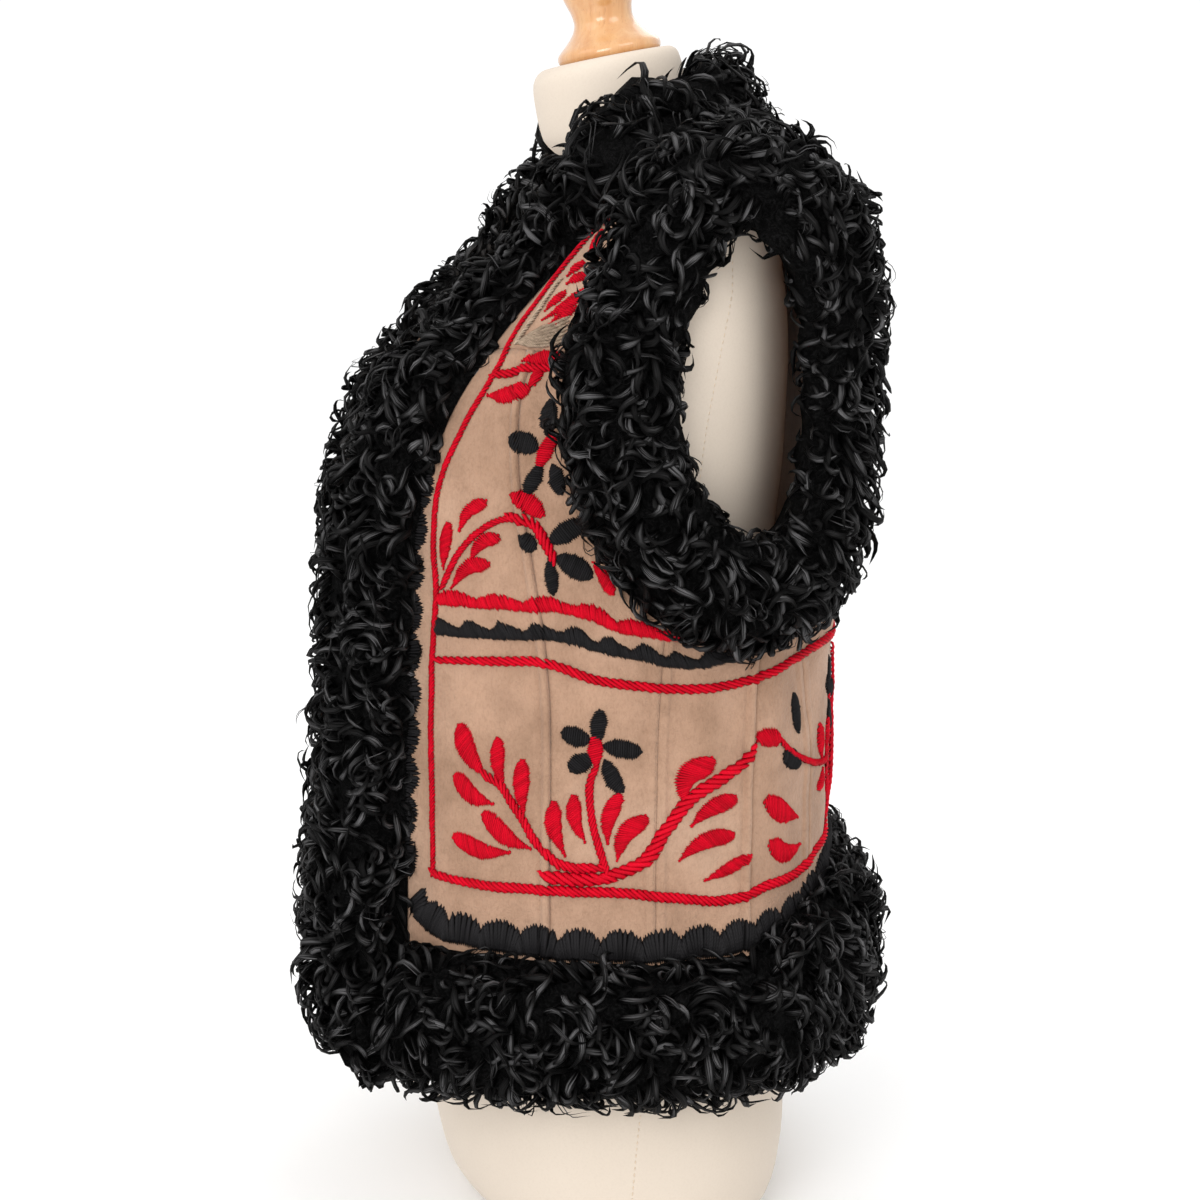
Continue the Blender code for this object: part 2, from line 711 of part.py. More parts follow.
def make_neck_fur(material, collection):
    length = FRONT_LENGTH + NECK_LENGTH - TRIM_JOIN_RUN
    runs = [TRIM_JOIN_RUN + length * share for share in share_steps(length, NECK_TRIM.spacing)]
    right = [front_neck_section(-1.0, run) for run in runs]
    left = [front_neck_section(1.0, run) for run in runs]
    make_trim("neck_fur", right[:-1] + left[::-1], False, material, collection)


def make_hem_fur(material, collection):
    shares = share_steps(HEM_SIDE_LENGTH, HEM_TRIM.spacing)
    for side, suffix in ((1.0, "left"), (-1.0, "right")):
        sections = [hem_section(side, share, HEM_SPLIT_G, beside_front_trim, HEM_SIDE_LENGTH, HEM_TRIM)
                    for share in shares]
        make_trim("hem_fur_" + suffix, sections, False, material, collection)
    shares = share_steps(HEM_BACK_LENGTH, HEM_TRIM.spacing)
    right = [hem_section(-1.0, share, None, beside_hem_split, HEM_BACK_LENGTH, HEM_TRIM)
             for share in shares]
    left = [hem_section(1.0, share, None, beside_hem_split, HEM_BACK_LENGTH, HEM_TRIM)
            for share in shares]
    make_trim("hem_fur_back", right[::-1][:-1] + left, False, material, collection)


def armhole_section(side, run):
    g, z = armhole_place(run)
    inward = square_to_edge(side, armhole_place, run, -1.0)
    from_top = abs(2.0 * math.pi * run / ARMHOLE_LENGTH - ARMHOLE_TOP_TURN)
    trim = blend_trims(ARMHOLE_TOP_TRIM, ARMHOLE_TRIM, smooth_share(from_top, 0.0, ARMHOLE_TOP_SPREAD))
    return trim_section(side, (g, z), lambda reach: walk(side, g, z, inward, reach), inward, run, trim)


def make_armhole_fur(side, suffix, material, collection):
    sections = []
    for share in share_steps(ARMHOLE_LENGTH, ARMHOLE_TRIM.spacing)[:-1]:
        run = share * ARMHOLE_LENGTH
        sections.append(armhole_section(side, run))
    make_trim("armhole_fur_" + suffix, sections, True, material, collection)


# ---------------------------------------------------------------- dress form

def form_ring(z):
    half_width, front_y, back_y, square = FORM_TABLE.at(z)
    side_y = 0.5 * (front_y + back_y)
    tilt = math.tan(NECK_TILT) * smooth_share(z, NECK_TILT_START_Z, FORM_RINGS[-1].z)
    points = []
    for index in range(FORM_SIDES):
        turn = 2.0 * math.pi * index / FORM_SIDES
        across = math.copysign(abs(math.sin(turn)) ** square, math.sin(turn))
        along = math.copysign(abs(math.cos(turn)) ** square, math.cos(turn))
        y = side_y + 0.5 * (back_y - front_y) * along
        points.append((half_width * across, y, z + tilt * y))
    return points


def make_form(material, collection):
    heights = [ring.z for ring in FORM_RINGS]
    rings = [form_ring(z) for z in heights]
    points = [point for ring in rings for point in ring]
    faces = [tuple(range(FORM_SIDES))]
    for row in range(len(rings) - 1):
        for index in range(FORM_SIDES):
            after = (index + 1) % FORM_SIDES
            low = row * FORM_SIDES
            high = low + FORM_SIDES
            faces.append((low + index, low + after, high + after, high + index))
    last = (len(rings) - 1) * FORM_SIDES
    faces.append(tuple(last + index for index in range(FORM_SIDES)))
    return make_object("dress_form", points, faces, material, collection)


def make_finial(material, collection):
    """A turned knob, leaning with the neck's top."""
    mesh = bpy.data.meshes.new("finial")
    profile = [(0.0, 0.0, FINIAL_RINGS[-1].height + 0.001)]
    profile += [(ring.radius, 0.0, ring.height) for ring in reversed(FINIAL_RINGS)]
    profile += [(0.0, 0.0, 0.0)]
    mesh.from_pydata(profile, [(k, k + 1) for k in range(len(profile) - 1)], [])
    mesh.materials.append(material)
    finial = bpy.data.objects.new("finial", mesh)
    collection.objects.link(finial)
    screw = finial.modifiers.new("Turned", "SCREW")
    screw.steps = FINIAL_SIDES
    screw.render_steps = FINIAL_SIDES
    screw.use_merge_vertices = True
    screw.merge_threshold = 0.0001
    screw.use_smooth_shade = True
    finial.location = (0.0, 0.0, FORM_RINGS[-1].z + FINIAL_GAP)
    finial.rotation_euler = (NECK_TILT, 0.0, 0.0)
    return finial


def main():
    remove_all_objects()
    collection = make_collection()
    suede = make_material("suede", SUEDE_COLOUR, 0.9)
    fur = make_material("curly_lambskin", FUR_COLOUR, 0.6)
    jersey = make_material("cream_jersey", JERSEY_COLOUR, 0.9)
    wood = make_material("varnished_wood", WOOD_COLOUR, 0.25)
    make_form(jersey, collection)
    make_finial(wood, collection)
    make_back_centre(suede, collection)
    make_neck_fur(fur, collection)
    make_hem_fur(fur, collection)
    for side, suffix in ((1.0, "left"), (-1.0, "right")):
        make_side_pieces(side, suffix, suede, collection)
        make_front_fur(side, suffix, fur, collection)
        make_armhole_fur(side, suffix, fur, collection)


main()
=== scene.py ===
"""Looks of the embroidered suede vest with curly fur trim, on its dress form.

Metres, +Z up. The wearer faces -Y and their left side is +X. A place on the vest is a girth g from
the side line, positive toward the front, and a height z. Side is +1 on the left and -1 on the right.
"""
import math
from collections import namedtuple

import bmesh
import bpy
import numpy as np
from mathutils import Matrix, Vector
from mathutils.bvhtree import BVHTree


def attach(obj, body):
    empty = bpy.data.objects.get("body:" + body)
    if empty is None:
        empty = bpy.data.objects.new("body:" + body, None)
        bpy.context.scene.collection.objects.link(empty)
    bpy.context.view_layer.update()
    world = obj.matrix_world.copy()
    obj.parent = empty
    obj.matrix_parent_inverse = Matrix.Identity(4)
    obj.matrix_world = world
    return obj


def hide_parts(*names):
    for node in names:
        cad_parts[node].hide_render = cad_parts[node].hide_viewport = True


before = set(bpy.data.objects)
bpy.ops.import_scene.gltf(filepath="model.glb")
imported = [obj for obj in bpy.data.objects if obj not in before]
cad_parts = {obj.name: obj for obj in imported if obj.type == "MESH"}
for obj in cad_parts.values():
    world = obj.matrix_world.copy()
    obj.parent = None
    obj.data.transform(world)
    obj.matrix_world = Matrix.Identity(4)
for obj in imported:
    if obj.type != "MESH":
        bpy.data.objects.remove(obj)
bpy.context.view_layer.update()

SIDES = ((1.0, "left"), (-1.0, "right"))


# ---- camera and light

IMAGE_PIXELS = 1200.0
FOCAL_PIXELS = 2280.0
SENSOR_MM = 36.0
VIEW_AZIMUTH = math.radians(82.0)
VIEW_DISTANCE = 1.5
VIEW_HEIGHT = 0.66
VIEW_PITCH = math.atan(400.0 / FOCAL_PIXELS)
AXIS_OFFSET_PIXELS = 10.0
WORLD_STRENGTH = 1.06
LIGHT_TARGET_Z = 0.42

# Area lights: azimuth and elevation in degrees, distance from the vest and width in metres, and watts
Light = namedtuple("Light", "name azimuth elevation distance size power")
LIGHTS = [Light(*row) for row in (
    ("key", 118.0, 46.0, 2.2, 1.0, 8.0),
    ("front", 20.0, 38.0, 2.4, 1.4, 6.0),
    ("side", 66.0, 20.0, 2.2, 1.0, 18.0),
    ("back", 250.0, 40.0, 2.4, 1.4, 6.0),
)]


def add_object(name, data):
    thing = bpy.data.objects.new(name, data)
    bpy.context.scene.collection.objects.link(thing)
    return thing


def make_camera():
    data = bpy.data.cameras.new("camera")
    data.sensor_width = SENSOR_MM
    data.lens = SENSOR_MM * FOCAL_PIXELS / IMAGE_PIXELS
    camera = add_object("camera", data)
    camera.location = (VIEW_DISTANCE * math.sin(VIEW_AZIMUTH), -VIEW_DISTANCE * math.cos(VIEW_AZIMUTH),
                       VIEW_HEIGHT)
    yaw = VIEW_AZIMUTH + math.atan(AXIS_OFFSET_PIXELS / FOCAL_PIXELS)
    camera.rotation_euler = (0.5 * math.pi - VIEW_PITCH, 0.0, yaw)
    bpy.context.scene.camera = camera


def make_light(light):
    data = bpy.data.lights.new(light.name, "AREA")
    data.size = light.size
    data.energy = light.power
    azimuth = math.radians(light.azimuth)
    elevation = math.radians(light.elevation)
    away = Vector((math.sin(azimuth) * math.cos(elevation), -math.cos(azimuth) * math.cos(elevation),
                   math.sin(elevation)))
    lamp = add_object(light.name, data)
    lamp.location = Vector((0.0, 0.0, LIGHT_TARGET_Z)) + away * light.distance
    lamp.rotation_euler = away.to_track_quat("Z", "Y").to_euler()


def make_world():
    world = bpy.data.worlds.new("studio")
    world.use_nodes = True
    shader = world.node_tree.nodes["Background"]
    shader.inputs["Color"].default_value = (1.0, 1.0, 1.0, 1.0)
    shader.inputs["Strength"].default_value = WORLD_STRENGTH
    bpy.context.scene.world = world
    bpy.context.scene.view_settings.view_transform = "Standard"


# ---- the vest's surface

def metres(millimetres):
    return [value / 1000.0 for value in millimetres]


# Level sections of the left half: lengths in millimetres, how square the back is, how the front curves
VestRing = namedtuple("VestRing", "z half_width side_y back_y front_x front_y back_square front_curve")
VEST_RINGS = [VestRing(*metres(row[:6]), *row[6:]) for row in (
    (110, 188,  0, 143, 97, -180, 0.88, 2.0),
    (145, 187,  0, 142, 95, -179, 0.88, 2.0),
    (235, 184,  0, 141, 92, -177, 0.86, 2.0),
    (330, 178,  2, 141, 90, -174, 0.84, 2.0),
    (400, 175,  6, 140, 88, -172,  0.8, 2.0),
    (470, 176, 14, 137, 86, -166, 0.74, 2.1),
    (530, 181, 25, 131, 83, -146,  0.7, 2.2),
    (580, 185, 37, 124, 80, -111, 0.68, 2.2),
    (620, 188, 48, 116, 78,  -71,  0.7, 2.2),
    (640, 187, 52, 112, 77,  -48, 0.74, 2.2),
    (652, 180, 52, 109, 77,  -34,  0.8, 2.2),
    (660, 165, 50, 106, 76,  -24, 0.84, 2.1),
    (670, 138, 44, 100, 76,  -11,  0.9, 2.0),
    (680, 108, 34,  90, 75,    2, 0.95, 2.0),
    (690,  79, 25,  78, 74,   12,  1.0, 2.0),
    (702,  64, 16,  68, 60,    6,  1.0, 2.0),
    (714,  58, 10,  62, 54,    0,  1.0, 2.0),
)]
RING_SAMPLES = 90
ROW_PITCH = 0.002
HALF_COLUMNS = 160


def limited_slopes(heights, values):
    """Slopes for a cubic through the values that never overshoots them."""
    rises = np.diff(values, axis=0) / np.diff(heights)[:, None]
    slopes = np.zeros_like(values)
    slopes[0] = rises[0]
    slopes[-1] = rises[-1]
    same_way = rises[:-1] * rises[1:] > 0.0
    total = np.where(same_way, rises[:-1] + rises[1:], 1.0)
    slopes[1:-1] = np.where(same_way, 2.0 * rises[:-1] * rises[1:] / total, 0.0)
    return slopes


def read_table(rings, z):
    """Rows of a ring table's values at the heights z."""
    table = np.array([tuple(ring) for ring in rings], dtype=float)
    heights = table[:, 0]
    values = table[:, 1:]
    slopes = limited_slopes(heights, values)
    z = np.atleast_1d(z)
    row = np.clip(np.searchsorted(heights, z) - 1, 0, len(heights) - 2)
    step = (heights[row + 1] - heights[row])[:, None]
    t = np.clip((z - heights[row])[:, None] / step, 0.0, 1.0)
    start = (1.0 + 2.0 * t) * (1.0 - t) ** 2 * values[row]
    end = t * t * (3.0 - 2.0 * t) * values[row + 1]
    leave = t * (1.0 - t) ** 2 * step * slopes[row]
    arrive = t * t * (t - 1.0) * step * slopes[row + 1]
    return start + end + leave + arrive


def unit(vectors):
    return vectors / np.maximum(np.linalg.norm(vectors, axis=-1, keepdims=True), 1e-12)


class VestSurface:
    """The vest's outer face for the wearer's left half, sampled once on a fine grid."""

    def __init__(self):
        count = int(round((VEST_RINGS[-1].z - VEST_RINGS[0].z) / ROW_PITCH)) + 1
        self.low_z = VEST_RINGS[0].z
        self.heights = self.low_z + ROW_PITCH * np.arange(count)
        values = read_table(VEST_RINGS, self.heights)
        turn = np.linspace(0.0, 0.5 * math.pi, RING_SAMPLES)
        share = np.linspace(0.0, 1.0, RING_SAMPLES)[1:]
        self.back_ends = np.zeros(count)
        self.front_ends = np.zeros(count)
        self.points = np.zeros((count, 2 * HALF_COLUMNS + 1, 3))
        for row in range(count):
            half_width, side_y, back_y, front_x, front_y, square, curve = values[row]
            back_x = half_width * np.sin(turn) ** square
            back_line_y = side_y + (back_y - side_y) * np.cos(turn) ** square
            back_line_y[-1] = side_y
            x = np.concatenate([back_x, half_width - (half_width - front_x) * share ** curve])
            y = np.concatenate([back_line_y, side_y + (front_y - side_y) * share])
            run = np.concatenate([[0.0], np.cumsum(np.hypot(np.diff(x), np.diff(y)))])
            girth = run - run[RING_SAMPLES - 1]
            self.back_ends[row] = girth[0]
            self.front_ends[row] = girth[-1]
            even = np.concatenate([np.linspace(girth[0], 0.0, HALF_COLUMNS + 1)[:-1],
                                   np.linspace(0.0, girth[-1], HALF_COLUMNS + 1)])
            self.points[row, :, 0] = np.interp(even, girth, x)
            self.points[row, :, 1] = np.interp(even, girth, y)
            self.points[row, :, 2] = self.heights[row]
        across = np.gradient(self.points, axis=1)
        across[:, 0] = (1.0, 0.0, 0.0)
        rising = np.gradient(self.points, axis=0)
        rising[:, 0, 0] = 0.0
        self.normals = unit(np.cross(rising, across))

    def back_end(self, z):
        return np.interp(z, self.heights, self.back_ends)

    def front_end(self, z):
        return np.interp(z, self.heights, self.front_ends)

    def at(self, side, g, z):
        """Points and outward normals at girths and heights."""
        g = np.asarray(g, dtype=float)
        z = np.asarray(z, dtype=float) + 0.0 * g
        g = g + 0.0 * z
        share = np.where(g < 0.0, -g / self.back_end(z), g / self.front_end(z))
        column = np.clip((share + 1.0) * HALF_COLUMNS, 0.0, 2.0 * HALF_COLUMNS - 1e-6)
        row = np.clip((z - self.low_z) / ROW_PITCH, 0.0, len(self.heights) - 1.000001)
        c = column.astype(int)
        r = row.astype(int)
        u = (column - c)[..., None]
        v = (row - r)[..., None]
        found = []
        for field in (self.points, self.normals):
            low = field[r, c] * (1.0 - u) + field[r, c + 1] * u
            high = field[r + 1, c] * (1.0 - u) + field[r + 1, c + 1] * u
            value = low * (1.0 - v) + high * v
            value[..., 0] *= side
            found.append(value)
        return found[0], unit(found[1])


VEST = VestSurface()


# ---- seam lines and edges

HEM_Z = 0.145
YOKE_SEAM_Z = 0.573
YOKE_TOP_Z = 0.687
NECK_SIDE_Z = 0.690
BACK_NECK_Z = 0.700
BACK_RISE_START_Z = 0.60
SEAM_GAP = 0.0001
SIDE_SEAM_G = -0.002
LAPPED_SEAM_G = -0.064
BACK_PRINCESS_LOW_G = -0.122
BACK_PRINCESS_HIGH_G = -0.076
FRONT_PRINCESS_LOW_G = 0.062
FRONT_PRINCESS_HIGH_G = 0.112
ARMHOLE_G = -0.026
ARMHOLE_Z = 0.5495
ARMHOLE_HALF_WIDTH = 0.056
ARMHOLE_HALF_HEIGHT = 0.1025
ARMHOLE_LEAN = 0.25
ARMHOLE_TOP_Z = ARMHOLE_Z + ARMHOLE_HALF_HEIGHT
CORNER_RADIUS = 0.030


def smooth_share(value, low, high):
    t = np.clip((np.asarray(value, dtype=float) - low) / (high - low), 0.0, 1.0)
    return t * t * (3.0 - 2.0 * t)


def upright(girth):
    """A seam line that keeps one girth at all heights."""
    return lambda z: girth + 0.0 * np.asarray(z, dtype=float)


side_seam = upright(SIDE_SEAM_G)
lapped_seam = upright(LAPPED_SEAM_G)


def front_princess(z):
    lean = smooth_share(z, 0.30, YOKE_SEAM_Z)
    return FRONT_PRINCESS_LOW_G + (FRONT_PRINCESS_HIGH_G - FRONT_PRINCESS_LOW_G) * lean ** 1.6


def back_princess(z):
    lean = smooth_share(z, 0.30, 0.50)
    return BACK_PRINCESS_LOW_G + (BACK_PRINCESS_HIGH_G - BACK_PRINCESS_LOW_G) * lean


def armhole_edge(z, toward):
    height = (z - ARMHOLE_Z) / ARMHOLE_HALF_HEIGHT
    width = ARMHOLE_HALF_WIDTH * np.sqrt(np.maximum(1.0 - height * height, 0.0))
    return ARMHOLE_G + ARMHOLE_LEAN * (z - ARMHOLE_Z) + toward * width


def meets_armhole(line):
    """Height at which a line of girths meets the armhole's lower edge."""
    z = ARMHOLE_Z - ARMHOLE_HALF_HEIGHT
    for _ in range(40):
        width = (line(z) - ARMHOLE_G - ARMHOLE_LEAN * (z - ARMHOLE_Z)) / ARMHOLE_HALF_WIDTH
        floor = ARMHOLE_Z - ARMHOLE_HALF_HEIGHT * np.sqrt(np.maximum(1.0 - width * width, 0.0))
        z = 0.5 * (z + floor)
    return float(z)


SIDE_MEETS_ARMHOLE_Z = meets_armhole(side_seam)
PRINCESS_MEETS_ARMHOLE_Z = meets_armhole(back_princess)


def front_inner_edge(z):
    """Rear edge of the front pieces: side seam, then armhole, then shoulder seam."""
    edge = armhole_edge(z, 1.0)
    edge = np.where(z > ARMHOLE_Z, np.maximum(edge, SEAM_GAP / 2), edge)
    edge = np.where(z > ARMHOLE_TOP_Z, SEAM_GAP / 2, edge)
    return np.where(z <= SIDE_MEETS_ARMHOLE_Z, side_seam(z) + SEAM_GAP / 2, edge)


def back_outer_edge(z):
    """Outer edge of the centre back: princess seam, then armhole, then shoulder seam."""
    edge = np.minimum(armhole_edge(z, -1.0), -SEAM_GAP / 2)
    edge = np.where(z > ARMHOLE_TOP_Z, -SEAM_GAP / 2, edge)
    return np.where(z <= PRINCESS_MEETS_ARMHOLE_Z, back_princess(z) - SEAM_GAP / 2, edge)


def front_end(z):
    below = np.clip(CORNER_RADIUS - (z - HEM_Z), 0.0, CORNER_RADIUS)
    cut = CORNER_RADIUS - np.sqrt(CORNER_RADIUS ** 2 - below ** 2)
    return VEST.front_end(z) - cut


def neckline_rise(back_share):
    return (BACK_NECK_Z - NECK_SIDE_Z) * smooth_share(back_share, 0.0, 1.0)


# ---- relief of the suede

# Soft ridges (height above 0) and troughs (below 0), each along a line between two places, in millimetres
Crease = namedtuple("Crease", "low_g low_z high_g high_z half_width height")
CREASES = [Crease(*metres(row)) for row in (
    (  86, 530,   98, 572,  6, -2.2),
    (  72, 505,   84, 560,  7,    2),
    (  60, 470,   46, 430, 10, -1.6),
    ( 118, 560,  100, 585,  6, -1.8),
    ( 128, 575,  112, 610,  8,  1.6),
    ( 132, 250,  122, 360, 12,  1.4),
    ( 150, 235,  142, 275,  6, -1.4),
    ( 104, 215,   98, 262, 10,  1.6),
    (  78, 210,   82, 250,  8, -1.4),
    (  44, 215,   36, 300, 12,  1.2),
    (  20, 390,  -10, 330, 12, -1.4),
    (  12, 400,   50, 345, 14,  1.3),
    ( -28, 400,  -40, 300, 14,  1.5),
    ( -46, 235,  -40, 290, 10, -1.4),
    ( -86, 250,  -82, 400, 11,  1.4),
    (-100, 400, -112, 350,  9, -1.4),
    (-150, 230, -146, 420, 14,  1.8),
    (-172, 260, -166, 380, 12, -1.6),
    (-110, 480, -150, 400, 14,    2),
    (-130, 560, -190, 500, 16, -1.8),
    (-120, 620, -190, 585, 16,  1.8),
    ( 105, 390,  112, 470, 12,  1.2),
    (  52, 600,   70, 640, 10,  1.4),
)]
CREASE_SHIFT = 0.003
SWELL_HEIGHT = 0.0006
HEM_WAVE_HEIGHT = 0.0012
HEM_WAVE_LENGTH = 0.062
HEM_WAVE_TOP_Z = 0.30
LAP_WIDTH = 0.0058
LAP_HEIGHT = 0.0018
LAP_TURN = 0.0014
LAPPED_SEAM_SHARE = 1.15
STRIP_HALF_WIDTH = 0.0066
STRIP_HEIGHT = 0.0011
GROOVE_DEPTH = 0.0004
GROOVE_HALF_WIDTH = 0.0008
RELIEF_LOW = -0.0020
RELIEF_HIGH = 0.0036
SHOULDER_CALM = 0.75


def crease_height(side, g, z):
    """The creases' ridges and troughs, each moved a little, and differently on each side."""
    total = np.zeros(np.broadcast(g, z).shape)
    for index, crease in enumerate(CREASES):
        start_g = crease.low_g + CREASE_SHIFT * math.sin(2.3 * index + side)
        along_g = crease.high_g - crease.low_g
        along_z = crease.high_z - crease.low_z
        share = ((g - start_g) * along_g + (z - crease.low_z) * along_z) / (along_g ** 2 + along_z ** 2)
        held = np.clip(share, 0.0, 1.0)
        away = np.hypot(g - start_g - held * along_g, z - crease.low_z - held * along_z) / crease.half_width
        total += crease.height * np.exp(-away * away)
    return total


def swell_height(side, g, z):
    """Uneven swells of the hide, and waves that grow toward the hem."""
    first = np.sin(97.0 * g + 41.0 * z + side) * np.sin(63.0 * z - 29.0 * g + 2.0 * side)
    second = np.sin(151.0 * g - 83.0 * z) * np.sin(119.0 * z + 1.3 * side)
    wave = np.sin(2.0 * math.pi * g / HEM_WAVE_LENGTH + 0.8 * side)
    wave = wave * (1.0 - smooth_share(z, HEM_Z, HEM_WAVE_TOP_Z))
    return SWELL_HEIGHT * (first + 0.5 * second) + HEM_WAVE_HEIGHT * wave


def groove_height(distance):
    """The cloth pulled down by a row of stitches."""
    return -GROOVE_DEPTH * np.exp(-(distance / GROOVE_HALF_WIDTH) ** 2)


def lap_height(distance):
    """A folded strip on the side where distance is positive, stitched down at its far edge."""
    strip = smooth_share(distance, -0.0002, 0.0008)
    strip = strip * (1.0 - smooth_share(distance, LAP_WIDTH - LAP_TURN, LAP_WIDTH))
    crown = 1.0 + 0.25 * np.sin(math.pi * np.clip(distance / LAP_WIDTH, 0.0, 1.0))
    return LAP_HEIGHT * strip * crown + groove_height(distance - LAP_WIDTH - 0.0004)


def strip_height(distance):
    """Seam allowances showing as a flat strip on both sides of a seam, with a stitched edge."""
    away = np.abs(distance)
    flat = 1.0 - smooth_share(away, STRIP_HALF_WIDTH - 0.0012, STRIP_HALF_WIDTH + 0.0006)
    return STRIP_HEIGHT * flat + groove_height(away - STRIP_HALF_WIDTH)


def cloth_relief(side, g, z):
    """How far the suede's face stands out from the vest's surface."""
    g = np.asarray(g, dtype=float)
    z = np.asarray(z, dtype=float)
    relief = crease_height(side, g, z) + swell_height(side, g, z)
    # Where each seam ends at its top, and how it stands out
    seams = (
        (YOKE_SEAM_Z, lap_height(g - front_princess(z))),
        (SIDE_MEETS_ARMHOLE_Z + 0.02, strip_height(g - side_seam(z))),
        (SIDE_MEETS_ARMHOLE_Z + 0.02, LAPPED_SEAM_SHARE * lap_height(g - lapped_seam(z))),
        (PRINCESS_MEETS_ARMHOLE_Z, strip_height(g - back_princess(z))),
    )
    for top_z, height in seams:
        relief = relief + np.where(z < top_z, height, 0.0)
    calm = 1.0 - SHOULDER_CALM * smooth_share(z, 0.615, 0.650)
    return np.clip(relief, RELIEF_LOW, RELIEF_HIGH) * calm


def cloth_at(side, g, z):
    """Points on the suede's face, and the surface's normals there."""
    point, normal = VEST.at(side, g, z)
    return point + normal * cloth_relief(side, g, z)[..., None], normal


# ---- meshes and materials

def make_mesh(name, points, face_sets, material, uvs=None):
    """An object from points and arrays of faces, each array holding faces with one corner count."""
    points = np.asarray(points, dtype=np.float32).reshape(-1, 3)
    face_sets = [np.asarray(faces, dtype=np.int32) for faces in face_sets if len(faces)]
    corners = np.concatenate([faces.ravel() for faces in face_sets])
    counts = np.concatenate([np.full(len(faces), faces.shape[1]) for faces in face_sets])
    starts = np.concatenate([[0], np.cumsum(counts)[:-1]])
    mesh = bpy.data.meshes.new(name)
    mesh.vertices.add(len(points))
    mesh.vertices.foreach_set("co", points.ravel())
    mesh.loops.add(len(corners))
    mesh.loops.foreach_set("vertex_index", corners)
    mesh.polygons.add(len(counts))
    mesh.polygons.foreach_set("loop_start", starts.astype(np.int32))
    mesh.polygons.foreach_set("loop_total", counts.astype(np.int32))
    if uvs is not None:
        layer = mesh.uv_layers.new(name="UVMap")
        layer.data.foreach_set("uv", np.asarray(uvs, dtype=np.float32)[corners].ravel())
    mesh.update(calc_edges=True)
    mesh.materials.append(material)
    mesh.shade_smooth()
    return add_object(name, mesh)


def object_from(work, name, material):
    """An object from a bmesh, which is freed."""
    mesh = bpy.data.meshes.new(name)
    work.to_mesh(mesh)
    work.free()
    mesh.materials.append(material)
    return add_object(name, mesh)


def finish_piece(thing, replaced=()):
    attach(thing, "root")
    if replaced:
        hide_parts(*replaced)


class Nodes:
    """Short ways to add and join the nodes of one material."""

    def __init__(self, name):
        self.material = bpy.data.materials.new(name)
        self.material.use_nodes = True
        self.tree = self.material.node_tree
        self.shader = self.tree.nodes["Principled BSDF"]

    def add(self, kind, values=(), **settings):
        node = self.tree.nodes.new("ShaderNode" + kind)
        for key, value in settings.items():
            setattr(node, key, value)
        for socket, value in dict(values).items():
            self.put(node.inputs[socket], value)
        return node

    def put(self, socket, value):
        if isinstance(value, bpy.types.NodeSocket):
            self.tree.links.new(value, socket)
        else:
            socket.default_value = value

    def math(self, operation, first, second=0.0):
        return self.add("Math", {0: first, 1: second}, operation=operation).outputs[0]

    def plus(self, first, second):
        return self.math("ADD", first, second)

    def times(self, first, second):
        return self.math("MULTIPLY", first, second)

    def arch(self, share):
        """1 at the middle of a share, and 0 at its ends."""
        return self.math("SINE", self.times(share, math.pi))

    def own_share(self, number):
        """A random share for each whole number."""
        values = {"W": self.math("FLOOR", number)}
        return self.add("TexWhiteNoise", values, noise_dimensions="1D").outputs["Value"]

    def tube_map(self):
        """The UV map of stitches and curls, its two parts, and a random share for each tube."""
        uv = self.add("UVMap").outputs["UV"]
        split = self.add("SeparateXYZ", {"Vector": uv}).outputs
        return uv, split["X"], split["Y"], self.own_share(split["X"])

    def noise(self, place, scale, detail=3.0, roughness=0.5, distortion=0.0):
        values = {"Vector": place, "Scale": scale, "Detail": detail, "Roughness": roughness,
                  "Distortion": distortion}
        return self.add("TexNoise", values).outputs["Fac"]

    def stretched(self, place, scale):
        return self.add("Mapping", {"Vector": place, "Scale": scale}).outputs["Vector"]

    def ramp(self, fac, stops):
        node = self.add("ValToRGB", {"Fac": fac})
        ramp = node.color_ramp
        while len(ramp.elements) < len(stops):
            ramp.elements.new(0.5)
        for element, (place, colour) in zip(ramp.elements, stops):
            element.position = place
            element.color = (*colour, 1.0)
        return node.outputs["Color"]

    def shaded(self, colour, amount, fac, stops):
        """The colour multiplied by a ramp's colours, by an amount."""
        shade = self.ramp(fac, stops)
        node = self.add("Mix", {"Factor": amount}, data_type="RGBA", blend_type="MULTIPLY")
        first, second = [item for item in node.inputs if item.type == "RGBA"]
        self.put(first, colour)
        self.put(second, shade)
        return [item for item in node.outputs if item.type == "RGBA"][0]

    def bump(self, height, distance, under=None):
        values = {"Height": height, "Distance": distance, "Strength": 1.0}
        if under is not None:
            values["Normal"] = under
        return self.add("Bump", values).outputs["Normal"]

    def place(self):
        return self.add("TexCoord").outputs["Object"]

    def finished(self, **values):
        """The material, once its shader has these values and links."""
        for key, value in values.items():
            self.put(self.shader.inputs[key.replace("_", " ")], value)
        return self.material


